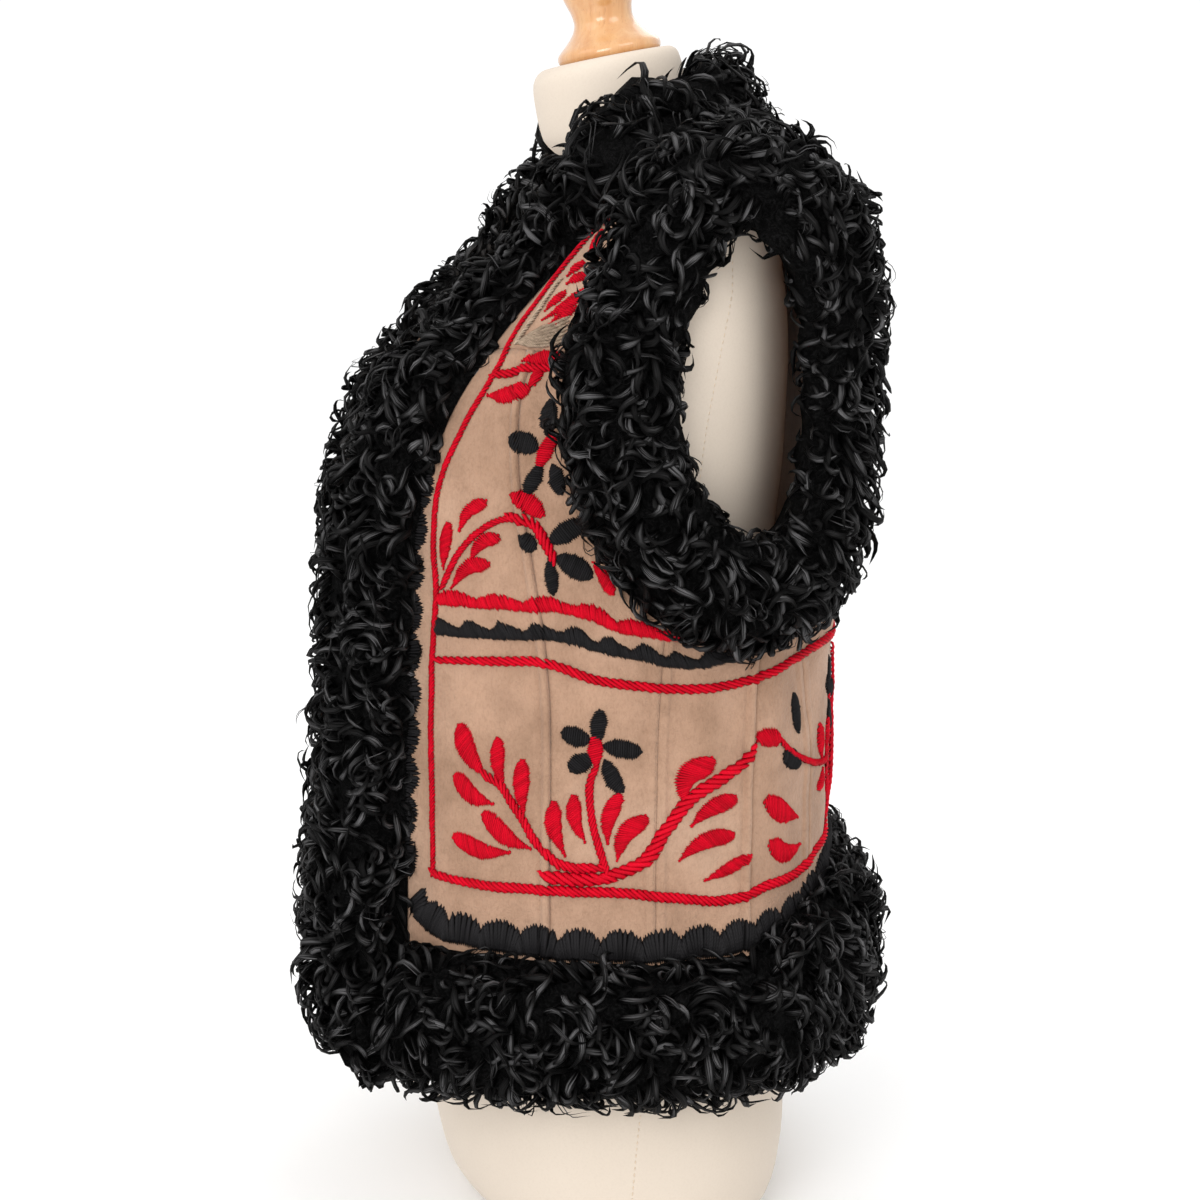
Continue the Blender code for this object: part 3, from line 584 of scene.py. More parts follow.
SUEDE_LIGHT = (0.440, 0.292, 0.207)
SUEDE_MAIN = (0.376, 0.232, 0.155)
SUEDE_DARK = (0.272, 0.162, 0.103)
# Light and dark ends of each thread's colour: random tone from stitch to stitch, and painted shade at each
# thread's sides
RED_LIGHT = (0.640, 0.0005, 0.016)
RED_DARK = (0.230, 0.0002, 0.003)
BLACK_LIGHT = (0.015, 0.014, 0.015)
BLACK_DARK = (0.002, 0.0018, 0.002)
TAN_LIGHT = (0.620, 0.470, 0.345)
TAN_DARK = (0.220, 0.150, 0.100)
SEAM_THREAD_LIGHT = (0.460, 0.310, 0.220)
SEAM_THREAD_DARK = (0.360, 0.240, 0.170)
FORM_THREAD = (0.740, 0.600, 0.460, 1.0)
FLOOR_COLOUR = (0.970, 0.970, 0.970, 1.0)
# Fur colours: black wool, which is also the painted shade at the locks' edges, and a painted grey highlight
# for their crests
FUR_BLACK_AND_PAINTED_SHADE = (0.0008, 0.0007, 0.0007)
FUR_MAIN = (0.0175, 0.0170, 0.0170)
FUR_PAINTED_HIGHLIGHT = (0.1650, 0.1620, 0.1660)
PELT_DARK = (0.0006, 0.0006, 0.0006)
PELT_LIGHT = (0.0180, 0.0175, 0.0178)
HAIRS_IN_LOCK = 12.0
BLACK = (0.0, 0.0, 0.0)
WHITE = (1.0, 1.0, 1.0)
JERSEY_LIGHT = (0.640, 0.555, 0.465)
JERSEY_MAIN = (0.605, 0.520, 0.430)
WOOD_LIGHT = (0.650, 0.385, 0.180)
WOOD_MAIN = (0.590, 0.300, 0.118)
WOOD_DARK = (0.530, 0.238, 0.078)


def suede_material():
    n = Nodes("napped_suede")
    place = n.place()
    cloud = n.noise(place, 9.0, 4.0, 0.6)
    patch = n.noise(place, 38.0, 5.0, 0.62, 0.4)
    nap = n.noise(n.stretched(place, (1.0, 1.0, 0.55)), 620.0, 5.0, 0.65, 0.6)
    wrinkle = n.noise(place, 210.0, 4.0, 0.55, 1.6)
    colour = n.ramp(cloud, [(0.30, SUEDE_DARK), (0.50, SUEDE_MAIN), (0.72, SUEDE_LIGHT)])
    patches = [(0.32, (0.80, 0.78, 0.76)), (0.55, WHITE), (0.75, (1.06, 1.05, 1.04))]
    fibres = [(0.32, (0.74, 0.71, 0.68)), (0.52, WHITE), (0.68, (1.08, 1.08, 1.08))]
    colour = n.shaded(colour, 0.75, patch, patches)
    colour = n.shaded(colour, 0.50, nap, fibres)
    crinkle = n.add("TexVoronoi", {"Vector": place, "Scale": 330.0}, feature="DISTANCE_TO_EDGE")
    height = n.plus(n.times(wrinkle, 0.9), n.times(crinkle.outputs["Distance"], 0.35))
    soft = n.bump(height, 0.00090)
    return n.finished(Base_Color=colour, Roughness=0.92, Normal=n.bump(nap, 0.00022, soft),
                      Sheen_Weight=0.18, Sheen_Roughness=0.5, Specular_IOR_Level=0.2)


def thread_material(name, light, dark, roughness):
    """Wool thread: fine plies along each stitch, a slightly different shade from stitch to stitch, and
    painted shade toward each thread's sides.
    """
    n = Nodes(name)
    _, number, along, own = n.tube_map()
    across = n.math("FRACT", number)
    ply_line = n.plus(n.times(across, 5.0), n.times(along, 2.0))
    ply = n.math("SINE", n.times(ply_line, 2.0 * math.pi))
    fuzz = n.noise(n.place(), 900.0, 4.0, 0.6)
    # Painted shade: lighter along each thread's middle and darker at its sides
    painted_round_shade = n.arch(across)
    grey = n.plus(n.times(own, 0.30), n.times(fuzz, 0.35))
    grey = n.plus(grey, n.times(painted_round_shade, 0.42))
    rib = n.plus(n.times(ply, 0.5), n.times(fuzz, 0.9))
    return n.finished(Base_Color=n.ramp(grey, [(0.22, dark), (0.80, light)]), Roughness=roughness,
                      Normal=n.bump(rib, 0.00016), Specular_IOR_Level=0.10)


def fur_material():
    """Curly wool: hairs side by side along each lock, with a painted grey highlight on its crest and
    painted shade, black, at its edges.
    """
    n = Nodes("curly_lambskin")
    uv, number, along, lock = n.tube_map()
    sway = n.noise(n.stretched(uv, (1.5, 2.2, 1.0)), 1.0, 2.0, 0.5)
    hairs = n.times(n.plus(number, n.times(sway, 0.22)), HAIRS_IN_LOCK)
    own = n.own_share(hairs)
    ridge = n.arch(n.math("FRACT", hairs))
    along = n.plus(along, n.times(n.math("SUBTRACT", own, 0.5), 0.30))
    # Painted highlight band along each lock, where its crest would catch the light
    painted_highlight_band = n.ramp(along, [(0.12, BLACK), (0.36, WHITE), (0.50, WHITE), (0.82, BLACK)])
    # Painted shade: each lock goes black toward its edges
    middle = n.arch(n.math("FRACT", number))
    # Painted highlight: brighter along the middle of each hair, and random in strength from hair to hair
    # and lock to lock
    painted_highlight = n.times(n.plus(n.times(own, 0.85), 0.15), n.plus(n.times(ridge, 0.75), 0.25))
    painted_highlight = n.times(n.times(painted_highlight, painted_highlight_band), middle)
    painted_highlight = n.times(painted_highlight, n.plus(n.times(lock, 0.85), 0.15))
    height = n.times(ridge, n.plus(n.times(own, 0.7), 0.3))
    return n.finished(Base_Color=n.ramp(painted_highlight, [(0.0, FUR_BLACK_AND_PAINTED_SHADE), (0.16, FUR_MAIN), (0.60, FUR_PAINTED_HIGHLIGHT)]),
                      Roughness=0.45, Normal=n.bump(height, 0.00035), Specular_IOR_Level=0.06)


def pelt_material():
    """The short wool under the curls: black, with faint streaks that swirl like the curls."""
    n = Nodes("pelt_under_the_curls")
    streak = n.noise(n.place(), 130.0, 5.0, 0.75, 3.0)
    hair = n.noise(n.place(), 420.0, 3.0, 0.6, 5.0)
    grey = n.times(streak, n.plus(hair, 0.35))
    return n.finished(Base_Color=n.ramp(grey, [(0.38, PELT_DARK), (0.62, PELT_LIGHT)]), Roughness=0.8,
                      Normal=n.bump(grey, 0.004), Specular_IOR_Level=0.05)


def jersey_material():
    n = Nodes("cream_jersey")
    place = n.place()
    cloud = n.noise(place, 6.0, 3.0, 0.5)
    fleck = n.noise(place, 700.0, 3.0, 0.6)
    colour = n.ramp(cloud, [(0.32, JERSEY_MAIN), (0.70, JERSEY_LIGHT)])
    colour = n.shaded(colour, 0.6, fleck, [(0.25, (0.93, 0.92, 0.91)), (0.55, WHITE)])
    return n.finished(Base_Color=colour, Roughness=0.9, Normal=n.bump(fleck, 0.00010), Sheen_Weight=0.1)


def form_thread_material():
    """Thin cotton of the form's seams, a little warmer than its jersey."""
    n = Nodes("form_thread")
    return n.finished(Base_Color=FORM_THREAD, Roughness=0.9, Specular_IOR_Level=0.10)


def wood_material():
    n = Nodes("varnished_wood")
    place = n.place()
    long_grain = n.noise(n.stretched(place, (1.0, 1.0, 0.12)), 150.0, 5.0, 0.6, 0.8)
    ring = n.noise(n.stretched(place, (1.0, 1.0, 0.22)), 38.0, 3.0, 0.5, 1.5)
    pore = n.noise(n.stretched(place, (1.0, 1.0, 0.06)), 900.0, 2.0, 0.6)
    grey = n.plus(n.times(long_grain, 0.45), n.times(ring, 0.55))
    colour = n.ramp(grey, [(0.30, WOOD_DARK), (0.46, WOOD_MAIN), (0.66, WOOD_LIGHT)])
    colour = n.shaded(colour, 0.6, pore, [(0.28, (0.72, 0.66, 0.60)), (0.42, WHITE)])
    return n.finished(Base_Color=colour, Roughness=0.28, Normal=n.bump(long_grain, 0.0002),
                      Coat_Weight=0.8, Coat_Roughness=0.06)


def floor_material():
    n = Nodes("pale_floor")
    return n.finished(Base_Color=FLOOR_COLOUR, Roughness=0.9)


# ---- suede panels

PANEL_THICKNESS = 0.0024
PANEL_PITCH = 0.0048
EDGE_OFFSETS = np.array([0.0, 0.0005, 0.0012, 0.0026, 0.0042, 0.0054, 0.0062, 0.0072, 0.0092])
EDGE_ROUND = 0.0008
EDGE_REACH = 0.0013
SIDE_PANEL_ROWS = 68
BACK_PANEL_ROWS = 96
BACK_PANEL_MIDDLE = 14
BACK_PANEL_HALF_WIDTH = 0.16
NARROW_PANEL_EDGES = 2.6

# The flat cut of each kind of panel: greatest width and length, and area, in metres
PanelCut = namedtuple("PanelCut", "width length area")


def panel_columns(rear, fore, middle):
    """Girths across a panel in one row, close together along both edges."""
    width = fore - rear
    near = EDGE_OFFSETS * np.minimum(1.0, width / (NARROW_PANEL_EDGES * EDGE_OFFSETS[-1]))
    centre = np.linspace(rear + near[-1], fore - near[-1], middle + 2)[1:-1]
    return np.concatenate([rear + near, centre, (fore - near)[::-1]])


def edge_fall(from_edge):
    """The panel's face turns down at its cut edges."""
    return -EDGE_ROUND * (1.0 - smooth_share(from_edge, 0.0, EDGE_REACH))


def row_falls(girths):
    return np.array([edge_fall(np.minimum(row - row[0], row[-1] - row)) for row in girths])


def shell_faces(rows, columns):
    """Faces of a closed shell: the grid's outer face, its inner one and the rim between them."""
    index = np.arange(rows * columns).reshape(rows, columns)
    a, b = index[:-1, :-1], index[:-1, 1:]
    c, d = index[1:, 1:], index[1:, :-1]
    outer = np.stack([a, b, c, d], axis=-1).reshape(-1, 4)
    shift = rows * columns
    inner = outer[:, ::-1] + shift
    rim = np.concatenate([index[0, :], index[1:, -1], index[-1, -2::-1], index[-2:0:-1, 0]])
    after = np.roll(rim, -1)
    edge = np.stack([rim + shift, after + shift, after, rim], axis=-1)
    return np.concatenate([outer, inner, edge])


def shell_sides(side, heights, girths, falls):
    """The outer and inner face of a panel. heights, girths and falls are (rows, columns)."""
    face, normal = cloth_at(side, girths, heights)
    depth = PANEL_THICKNESS + cloth_relief(side, girths, heights)
    return np.stack([face + normal * falls[..., None], face - normal * depth[..., None]])


def make_panel(name, sides, turned, material):
    """A thin closed shell between its outer and inner face."""
    faces = shell_faces(*sides.shape[1:3])
    if turned:
        faces = faces[:, ::-1]
    thing = make_mesh(name, sides, [faces], material)
    finish_piece(thing, [name])


def level_panel(name, side, material, rear_line, fore_line, middle, low, high):
    """A panel with a level top and bottom."""
    z = np.linspace(low, high, int(round((high - low) / PANEL_PITCH)) + 1)
    girths = np.array([panel_columns(a, b, middle) for a, b in zip(rear_line(z), fore_line(z))])
    falls = row_falls(girths)
    falls[-1] = -EDGE_ROUND
    heights = np.repeat(z[:, None], girths.shape[1], axis=1)
    make_panel(name, shell_sides(side, heights, girths, falls), side > 0.0, material)


def side_panel(name, side, material, rear_line, fore_line, middle):
    """A panel whose top edge follows the armhole."""
    shares = panel_columns(0.0, float(fore_line(HEM_Z) - rear_line(HEM_Z)), middle)
    shares = shares / shares[-1]
    girths = np.zeros((SIDE_PANEL_ROWS, len(shares)))
    heights = np.zeros_like(girths)
    for column, share in enumerate(shares):
        def line(z):
            return rear_line(z) * (1.0 - share) + fore_line(z) * share
        heights[:, column] = np.linspace(HEM_Z, meets_armhole(line), SIDE_PANEL_ROWS)
        girths[:, column] = line(heights[:, column])
    make_panel(name, shell_sides(side, heights, girths, row_falls(girths)), side > 0.0, material)


def back_centre_panel(material):
    """The panel from one back seam to the other, its neckline a little higher in the middle."""
    level = np.linspace(HEM_Z, NECK_SIDE_Z, BACK_PANEL_ROWS)[:, None]
    edge = panel_columns(0.0, BACK_PANEL_HALF_WIDTH, BACK_PANEL_MIDDLE)[len(EDGE_OFFSETS):]
    half = np.concatenate([np.linspace(0.0, edge[0], 3)[:-1], edge])
    half = half / half[-1]
    halves = []
    for side, share in ((-1.0, half[::-1]), (1.0, half[1:])):
        z = level + neckline_rise(1.0 - share) * smooth_share(level, BACK_RISE_START_Z, NECK_SIDE_Z)
        back = VEST.back_end(z)
        width = back_outer_edge(level) - back
        fall = edge_fall((1.0 - share) * np.abs(width))
        halves.append(shell_sides(side, z, back + width * share, fall))
    make_panel("back_centre", np.concatenate(halves, axis=2), True, material)


def beside(line, offset):
    """A line a little way from another."""
    return lambda z: line(z) + offset


def make_panels(material):
    """All the panels: their rear and fore lines, columns between their edges, and any level ends."""
    gap = SEAM_GAP / 2
    low = (HEM_Z, YOKE_SEAM_Z - gap)
    high = (YOKE_SEAM_Z + gap, YOKE_TOP_Z)
    back_centre_panel(material)
    panels = (
        (side_panel, "back_side_", beside(back_princess, gap), beside(lapped_seam, -gap), 8),
        (side_panel, "side_", beside(lapped_seam, gap), beside(side_seam, -gap), 10),
        (level_panel, "front_side_", front_inner_edge, beside(front_princess, -gap), 10, *low),
        (level_panel, "front_centre_", beside(front_princess, gap), front_end, 22, *low),
        (level_panel, "yoke_", front_inner_edge, front_end, 22, *high),
    )
    for side, suffix in SIDES:
        for make, name, *shape in panels:
            make(name + suffix, side, material, *shape)


# ---- tubes: stitches and curls

# Sections of tubes: across and out, in half widths and heights
HALF_ROUND = np.array([(-1.0, -0.35), (0.0, 0.65), (1.0, -0.35)])
GROOVED = np.array([(-1.0, -0.40), (-0.52, 0.34), (0.02, 0.26), (0.48, 0.50), (1.0, -0.40)])


def tube_points(section, centres, across, out, widths, heights):
    """Section points of closed tubes. centres is (tubes, rings, 3)."""
    wide = across[:, :, None, :] * (section[:, 0] * widths[..., None])[..., None]
    tall = out[:, :, None, :] * (section[:, 1] * heights[..., None])[..., None]
    return centres[:, :, None, :] + wide + tall


def tube_faces(section, count, rings):
    """The sides of closed tubes, four corners each, and their caps."""
    corners = len(section)
    start = (np.arange(count) * rings * corners)[:, None, None]
    low = start + (np.arange(rings - 1) * corners)[None, :, None]
    corner = np.arange(corners)[None, None, :]
    after = (corner + 1) % corners
    quads = np.stack([low + corner, low + corner + corners, low + after + corners, low + after], axis=-1)
    first = start[:, 0] + np.arange(corners)
    last = first[:, ::-1] + (rings - 1) * corners
    return quads.reshape(-1, 4), np.concatenate([first, last])


def tube_uvs(section, lengths, share=1.0):
    """Across each tube a share of the step from its own number to the next, and lengths along it."""
    across = 0.5 + 0.48 * share * section[:, 0]
    u = np.broadcast_to(across, lengths.shape + across.shape) + np.arange(len(lengths))[:, None, None]
    v = np.broadcast_to(lengths[..., None], u.shape)
    return np.stack([u, v], axis=-1).reshape(-1, 2)


# A stitch from end to end: the places of its rings, their rise and width, and how far it sways aside
STITCH_SHARES = np.array([0.0, 0.15, 0.50, 0.85, 1.0])
STITCH_RISE = np.array([-0.45, 0.66, 1.0, 0.66, -0.45])
STITCH_TAPER = np.array([0.45, 0.95, 1.0, 0.95, 0.45])
STITCH_SWAY = -np.cos(math.pi * STITCH_SHARES) - (2.0 * STITCH_SHARES - 1.0)
THREAD_THICKNESS_SHARE = 0.52


class Stitching:
    """Collects stitches between places (g, z), and makes them for one side of the vest."""

    def __init__(self, seed):
        self.random = np.random.default_rng(seed)
        self.rows = []

    def add(self, starts, ends, width, rise, ragged=0.0003, sway=0.0):
        """Stitches alike in width and rise, with ends a little ragged along them."""
        starts = np.asarray(starts, dtype=float)
        ends = np.asarray(ends, dtype=float)
        count = len(starts)
        away = unit(ends - starts)
        starts = starts - away * self.random.normal(0.0, ragged, (count, 1))
        ends = ends + away * self.random.normal(0.0, ragged, (count, 1))
        widths = width * self.random.uniform(0.88, 1.12, (count, 1))
        rises = np.broadcast_to(rise, (count,))[:, None] * self.random.uniform(0.90, 1.10, (count, 1))
        self.rows.append((starts, ends, widths, rises, np.broadcast_to(sway, (count, 2))))

    def make(self, name, side, material, sink=0.0):
        starts, ends, widths, rises, sways = [np.concatenate(parts)[:, None] for parts in zip(*self.rows)]
        widths = widths[..., 0] * STITCH_TAPER
        rises = rises[..., 0] * STITCH_RISE
        share = STITCH_SHARES[None, :, None]
        places = starts * (1.0 - share) + ends * share + sways * STITCH_SWAY[None, :, None]
        points, normals = cloth_at(side, places[..., 0], places[..., 1])
        centres = points + normals * (rises - sink)[..., None]
        tangents = unit(np.gradient(centres, axis=1))
        across = unit(np.cross(normals, tangents))
        out = np.cross(tangents, across)
        heights = np.repeat(THREAD_THICKNESS_SHARE * widths.max(axis=1)[:, None], widths.shape[1], axis=1)
        sections = tube_points(HALF_ROUND, centres, across, out, 0.5 * widths, heights)
        count, rings = widths.shape
        steps = np.linalg.norm(np.diff(centres, axis=1), axis=2)
        lengths = np.concatenate([np.zeros((count, 1)), np.cumsum(steps, axis=1)], axis=1) / widths.max()
        quads, caps = tube_faces(HALF_ROUND, count, rings)
        uvs = tube_uvs(HALF_ROUND, lengths)
        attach(make_mesh(name, sections, [quads, caps], material, uvs), "root")


SATIN_PITCH = 0.00135
SATIN_THREAD = 0.0020
SATIN_RISE = 0.0018
ROPE_THREAD_SHARE = 0.48
ROPE_SLOPE = 2.1
ROPE_OVERLAP = 0.52
ROPE_RISE = 0.0019
BAND_PITCH = 0.0013
BAND_THREAD = 0.0024
BAND_RISE = 0.0015
BAND_LEAN = 0.60
BAND_LEAN_SPREAD = 0.035


def smooth_line(points, pitch):
    """Evenly spaced places and their directions on a smooth curve through the points."""
    points = np.asarray(points, dtype=float)
    ends = np.concatenate([[2.0 * points[0] - points[1]], points, [2.0 * points[-1] - points[-2]]])
    fine = []
    t = np.linspace(0.0, 1.0, 24, endpoint=False)[:, None]
    for a, b, c, d in zip(ends[:-3], ends[1:-2], ends[2:-1], ends[3:]):
        fine.append(0.5 * (2.0 * b + (c - a) * t + (2.0 * a - 5.0 * b + 4.0 * c - d) * t ** 2
                           + (3.0 * b - a - 3.0 * c + d) * t ** 3))
    fine = np.concatenate(fine + [points[-1:]])
    run = np.concatenate([[0.0], np.cumsum(np.linalg.norm(np.diff(fine, axis=0), axis=1))])
    count = max(3, int(round(run[-1] / pitch)) + 1)
    even = np.linspace(0.0, run[-1], count)
    line = np.stack([np.interp(even, run, fine[:, k]) for k in range(2)], axis=1)
    heading = unit(np.gradient(line, axis=0))
    return line, heading, even / run[-1]


def square_left(heading):
    return np.stack([-heading[:, 1], heading[:, 0]], axis=1)


def satin_width(share, widest, base_power):
    """Half-width share of a leaf or petal along its length, rounded at the tip."""
    rising = np.sin(0.5 * math.pi * np.clip(share / widest, 0.0, 1.0)) ** base_power
    falling = np.sqrt(np.maximum(1.0 - (np.clip(share - widest, 0.0, None) / (1.0 - widest)) ** 2, 0.0))
    return np.where(share < widest, rising, falling)


def add_satin(work, points, width, widest=0.66, base_power=1.1, slant=0.55):
    """A leaf or petal: satin stitches across its middle line, slanted by a share of their length."""
    line, heading, share = smooth_line(points, SATIN_PITCH)
    left = square_left(heading)
    half = 0.5 * width * np.maximum(satin_width(share, widest, base_power), 0.10)[:, None]
    lean = heading * half * slant
    starts = line - left * half - lean
    ends = line + left * half + lean
    length = 2.0 * half[:, 0]
    work.add(starts, ends, SATIN_THREAD, np.clip(0.22 * length, 0.0007, SATIN_RISE))


def add_rope(work, points, width, start_taper=0.35, end_taper=0.35, slope=ROPE_SLOPE, rise=ROPE_RISE):
    """A stem: long slanted stitches wound one over the other, like a rope."""
    thread = ROPE_THREAD_SHARE * width
    line, heading, share = smooth_line(points, ROPE_OVERLAP * thread * math.hypot(1.0, slope))
    left = square_left(heading)
    taper = start_taper + (1.0 - start_taper) * smooth_share(share, 0.0, 0.12)
    taper = taper * (end_taper + (1.0 - end_taper) * (1.0 - smooth_share(share, 0.88, 1.0)))
    half = 0.5 * (width - 0.5 * thread) * taper[:, None]
    starts = line - left * half - heading * half * slope
    ends = line + left * half + heading * half * slope
    work.add(starts, ends, thread, rise * (0.6 + 0.4 * taper), 0.00025, left * half)


def add_band(work, points, heights_at, thread=BAND_THREAD, ragged=0.0004):
    """Stitches that stand side by side on a base line. heights_at(run) gives each one's length."""
    line, heading, share = smooth_line(points, BAND_PITCH)
    run = share * np.sum(np.linalg.norm(np.diff(line, axis=0), axis=1))
    up = square_left(heading)
    tall, tip_lean = heights_at(run)
    lean = tip_lean + work.random.normal(0.0, BAND_LEAN_SPREAD, len(line))
    ends = line + up * tall[:, None] + heading * (lean * tall)[:, None]
    work.add(line, ends, thread, BAND_RISE, ragged)


# ---- embroidery

# A leaf or petal: its middle line from base to tip, and its greatest width
Leaf = namedtuple("Leaf", "line width")
# A stem: the line it follows, its width, how much of the width its start and end keep, and how far
# its stitches lie along it, for each step across
Stem = namedtuple("Stem", "line width start end slope")


def in_metres(places):
    return [metres(place) for place in places]


def leaf(*row):
    """A row is the places of the middle line, then the width, in millimetres."""
    return Leaf(in_metres(row[:-1]), row[-1] / 1000.0)


def leaves(*rows):
    return [leaf(*row) for row in rows]


def stem(places, width, start, end, slope=ROPE_SLOPE):
    return Stem(in_metres(places), width / 1000.0, start, end, slope)


FRONT_LINE = stem([(82, 662), (105, 645.5), (114.5, 630.5), (120, 616), (126, 596), (130, 579.5),
                   (133.5, 561), (144, 526), (151, 492), (149, 460), (143, 425), (142, 370), (140, 300),
                   (139, 253.5)], 4, 0.8, 0.9)
HEM_LINE = stem([(139, 253.5), (120, 251), (95, 250.5), (60, 251), (20, 250.5), (-10, 247), (-40, 242),
                 (-62, 243), (-80, 246.5), (-105, 248), (-135, 256), (-165, 268), (-182, 290),
                 (-186, 330), (-184, 375)], 6.6, 0.8, 0.6)
WAIST_LINE = stem([(139, 385.5), (97, 388), (69, 388.5), (35, 379), (-1, 374), (-26, 373), (-52, 374.5),
                   (-70, 378), (-96, 384), (-140, 390), (-200, 392), (-255, 392)], 6, 0.7, 0.9, 3.0)
UPPER_SPRIG_STEMS = [
    stem([(139, 430), (131.5, 449), (121.5, 462.5), (109, 471.5), (98, 475)], 4.4, 0.7, 1.0),
    stem([(100, 475), (86, 472), (77.5, 463), (69, 451.5)], 6.8, 0.7, 0.9),
]
UPPER_SPRIG_LEAVES = leaves(
    ((139.5, 441), (140.5, 469.5), 9),
    ((132, 465), (127, 477), (117, 484.5), 10),
    ((122, 448), (115, 459), (105, 464), 10.5),
    ((133, 430), (123, 443), (109, 447.5), 11),
    ((46, 450), (31, 431), 8),
)
UPPER_SPRIG_BUD = leaf((102, 488.5), (90.5, 484.5), (79, 476.5), 12)
UPPER_SPRIG_PETALS = leaves(
    ((92, 464), (81, 457), 10.5),
    ((73, 461), (54, 474), 15),
    ((67.5, 452.5), (45, 441), 14),
    ((72, 451.5), (66.5, 430), 9),
)
UPPER_FLOWER_HEART = leaf((87.5, 505), (83, 526), 11.5)
UPPER_FLOWER_PETALS = leaves(
    ((86, 524.5), (91, 545), 12.5),
    ((90.5, 516.5), (109.5, 521.5), 14),
    ((87, 507), (91.5, 489), 11.5),
    ((79.5, 507), (70, 490), 10.5),
    ((77.5, 518), (61, 522.5), 12.5),
)
CHEST_LEAVES = leaves(
    ((134, 545.5), (121, 546), (106, 552), 12.5),
    ((106, 564), (103, 553), 9.5),
    ((118.5, 566.5), (93, 570.5), 10),
)
CHEST_STEM = stem([(135.5, 556.5), (125, 559), (115, 562), (93, 564)], 5.6, 0.5, 1.0)
YOKE_LEAVES = leaves(
    ((113, 589.5), (102, 599), (92.5, 609.5), 6.2),
    ((107.5, 588), (100, 596.5), (93, 605), 6.2),
    ((103, 588.5), (93.5, 598.5), 5.6),
    ((113.5, 594.5), (105.5, 606.5), 6),
    ((107, 610.5), (97.5, 617.5), 8),
    ((109.5, 615), (105, 624.5), 7.8),
    ((102, 626.5), (101.2, 642.5), 7.8),
    ((100, 645.5), (82.5, 659), 7),
)
YOKE_CORD = stem([(124.5, 576), (119, 590.5), (114.5, 609), (113, 612.5)], 3, 0.7, 0.5)
PLANT_FLOWER_HEART = leaf((34.5, 328.5), (36.8, 346), 10.5)
PLANT_FLOWER_PETALS = leaves(
    ((34.5, 342), (33.8, 361.5), 11),
    ((39, 343), (56, 347), 13),
    ((38.5, 334), (50, 324), 14),
    ((31, 339.5), (8, 336), 12.5),
    ((30, 331), (25, 320), (18.5, 312), 11),
)
PLANT_STEM = stem([(34.5, 329), (38.5, 314.5), (36.2, 293), (30.5, 273), (27.5, 264)], 5, 0.6, 0.9)
PLANT_BASE_LEAVES = leaves(
    ((52.5, 272.5), (59, 288), (60.8, 305), 11),
    ((40.5, 281.5), (46.5, 294), (49, 309), 10.5),
    ((27.2, 280.5), (26.5, 295), (21.5, 311), 11.2),
    ((21.7, 270), (16, 286), (4.5, 297.5), 13),
)
PLANT_STEMS = [
    stem([(30, 266.5), (44.5, 265.5), (57, 268), (64, 273.5)], 6.4, 0.6, 0.6),
    stem([(64, 273.5), (72.5, 282), (80, 294), (86.5, 303), (94, 313), (104.5, 318.5)], 5.8, 0.7, 1.1),
    stem([(63, 259), (45, 258.5), (26, 260)], 8.8, 0.9, 0.7),
    stem([(32, 258.5), (13.5, 265), (3, 272), (-5, 284), (-13.5, 295), (-21.5, 305), (-32, 312.5),
          (-45.5, 319.5), (-56, 325.5), (-62.8, 334.5)], 8.8, 0.6, 0.35),
]
PLANT_LEAVES = leaves(
    ((103, 317), (115, 332), (121.5, 347.5), 14),
    ((91.2, 309.5), (95.5, 325), (96.5, 341.5), 10),
    ((78.5, 295.5), (80, 312), (81.2, 329), 12),
    ((98, 301), (111, 305), (124.5, 315.5), 12.8),
    ((74, 275.5), (88, 281), (105, 294), 13.5),
    ((87, 272), (105, 272), (124.5, 277.5), 12.5),
    ((-18, 303.5), (-20.5, 318), (-34.5, 331), 17),
    ((-23.5, 289.5), (-36, 299), (-52, 305.5), 13),
    ((-16, 269), (-32, 279), (-51.5, 282.5), 12.5),
    ((-32.5, 255.5), (-47, 260), (-63, 268), 9),
    ((-86.5, 334.5), (-78, 338.5), (-66.5, 337), 14),
    ((-107, 283), (-90, 290), (-73, 298.5), 15),
    ((-111, 265), (-94, 264), (-77.5, 271), 14),
    ((-140, 312), (-132, 336), 9),
    ((-149, 314), (-150, 338), 9.5),
    ((-143, 306), (-137, 293), 8.5),
    ((-153, 304), (-156, 289), 9),
)
PLANT_SIDE_PETALS = leaves(
    ((-106, 336), (-96, 362), 9.5),
    ((-107.5, 316.5), (-88, 326), 13),
)
BACK_STEMS = [
    stem([(-85.5, 334.5), (-95, 327), (-108, 320), (-127, 313), (-145, 311), (-158, 317), (-164, 333)],
         4.4, 0.9, 0.7),
    stem([(-145, 311), (-162, 300), (-172, 280)], 4.4, 0.8, 0.5),
]
BACK_SPRIG_MIDDLE_G = -0.0610
BACK_SPRIG_RISE = 0.0150

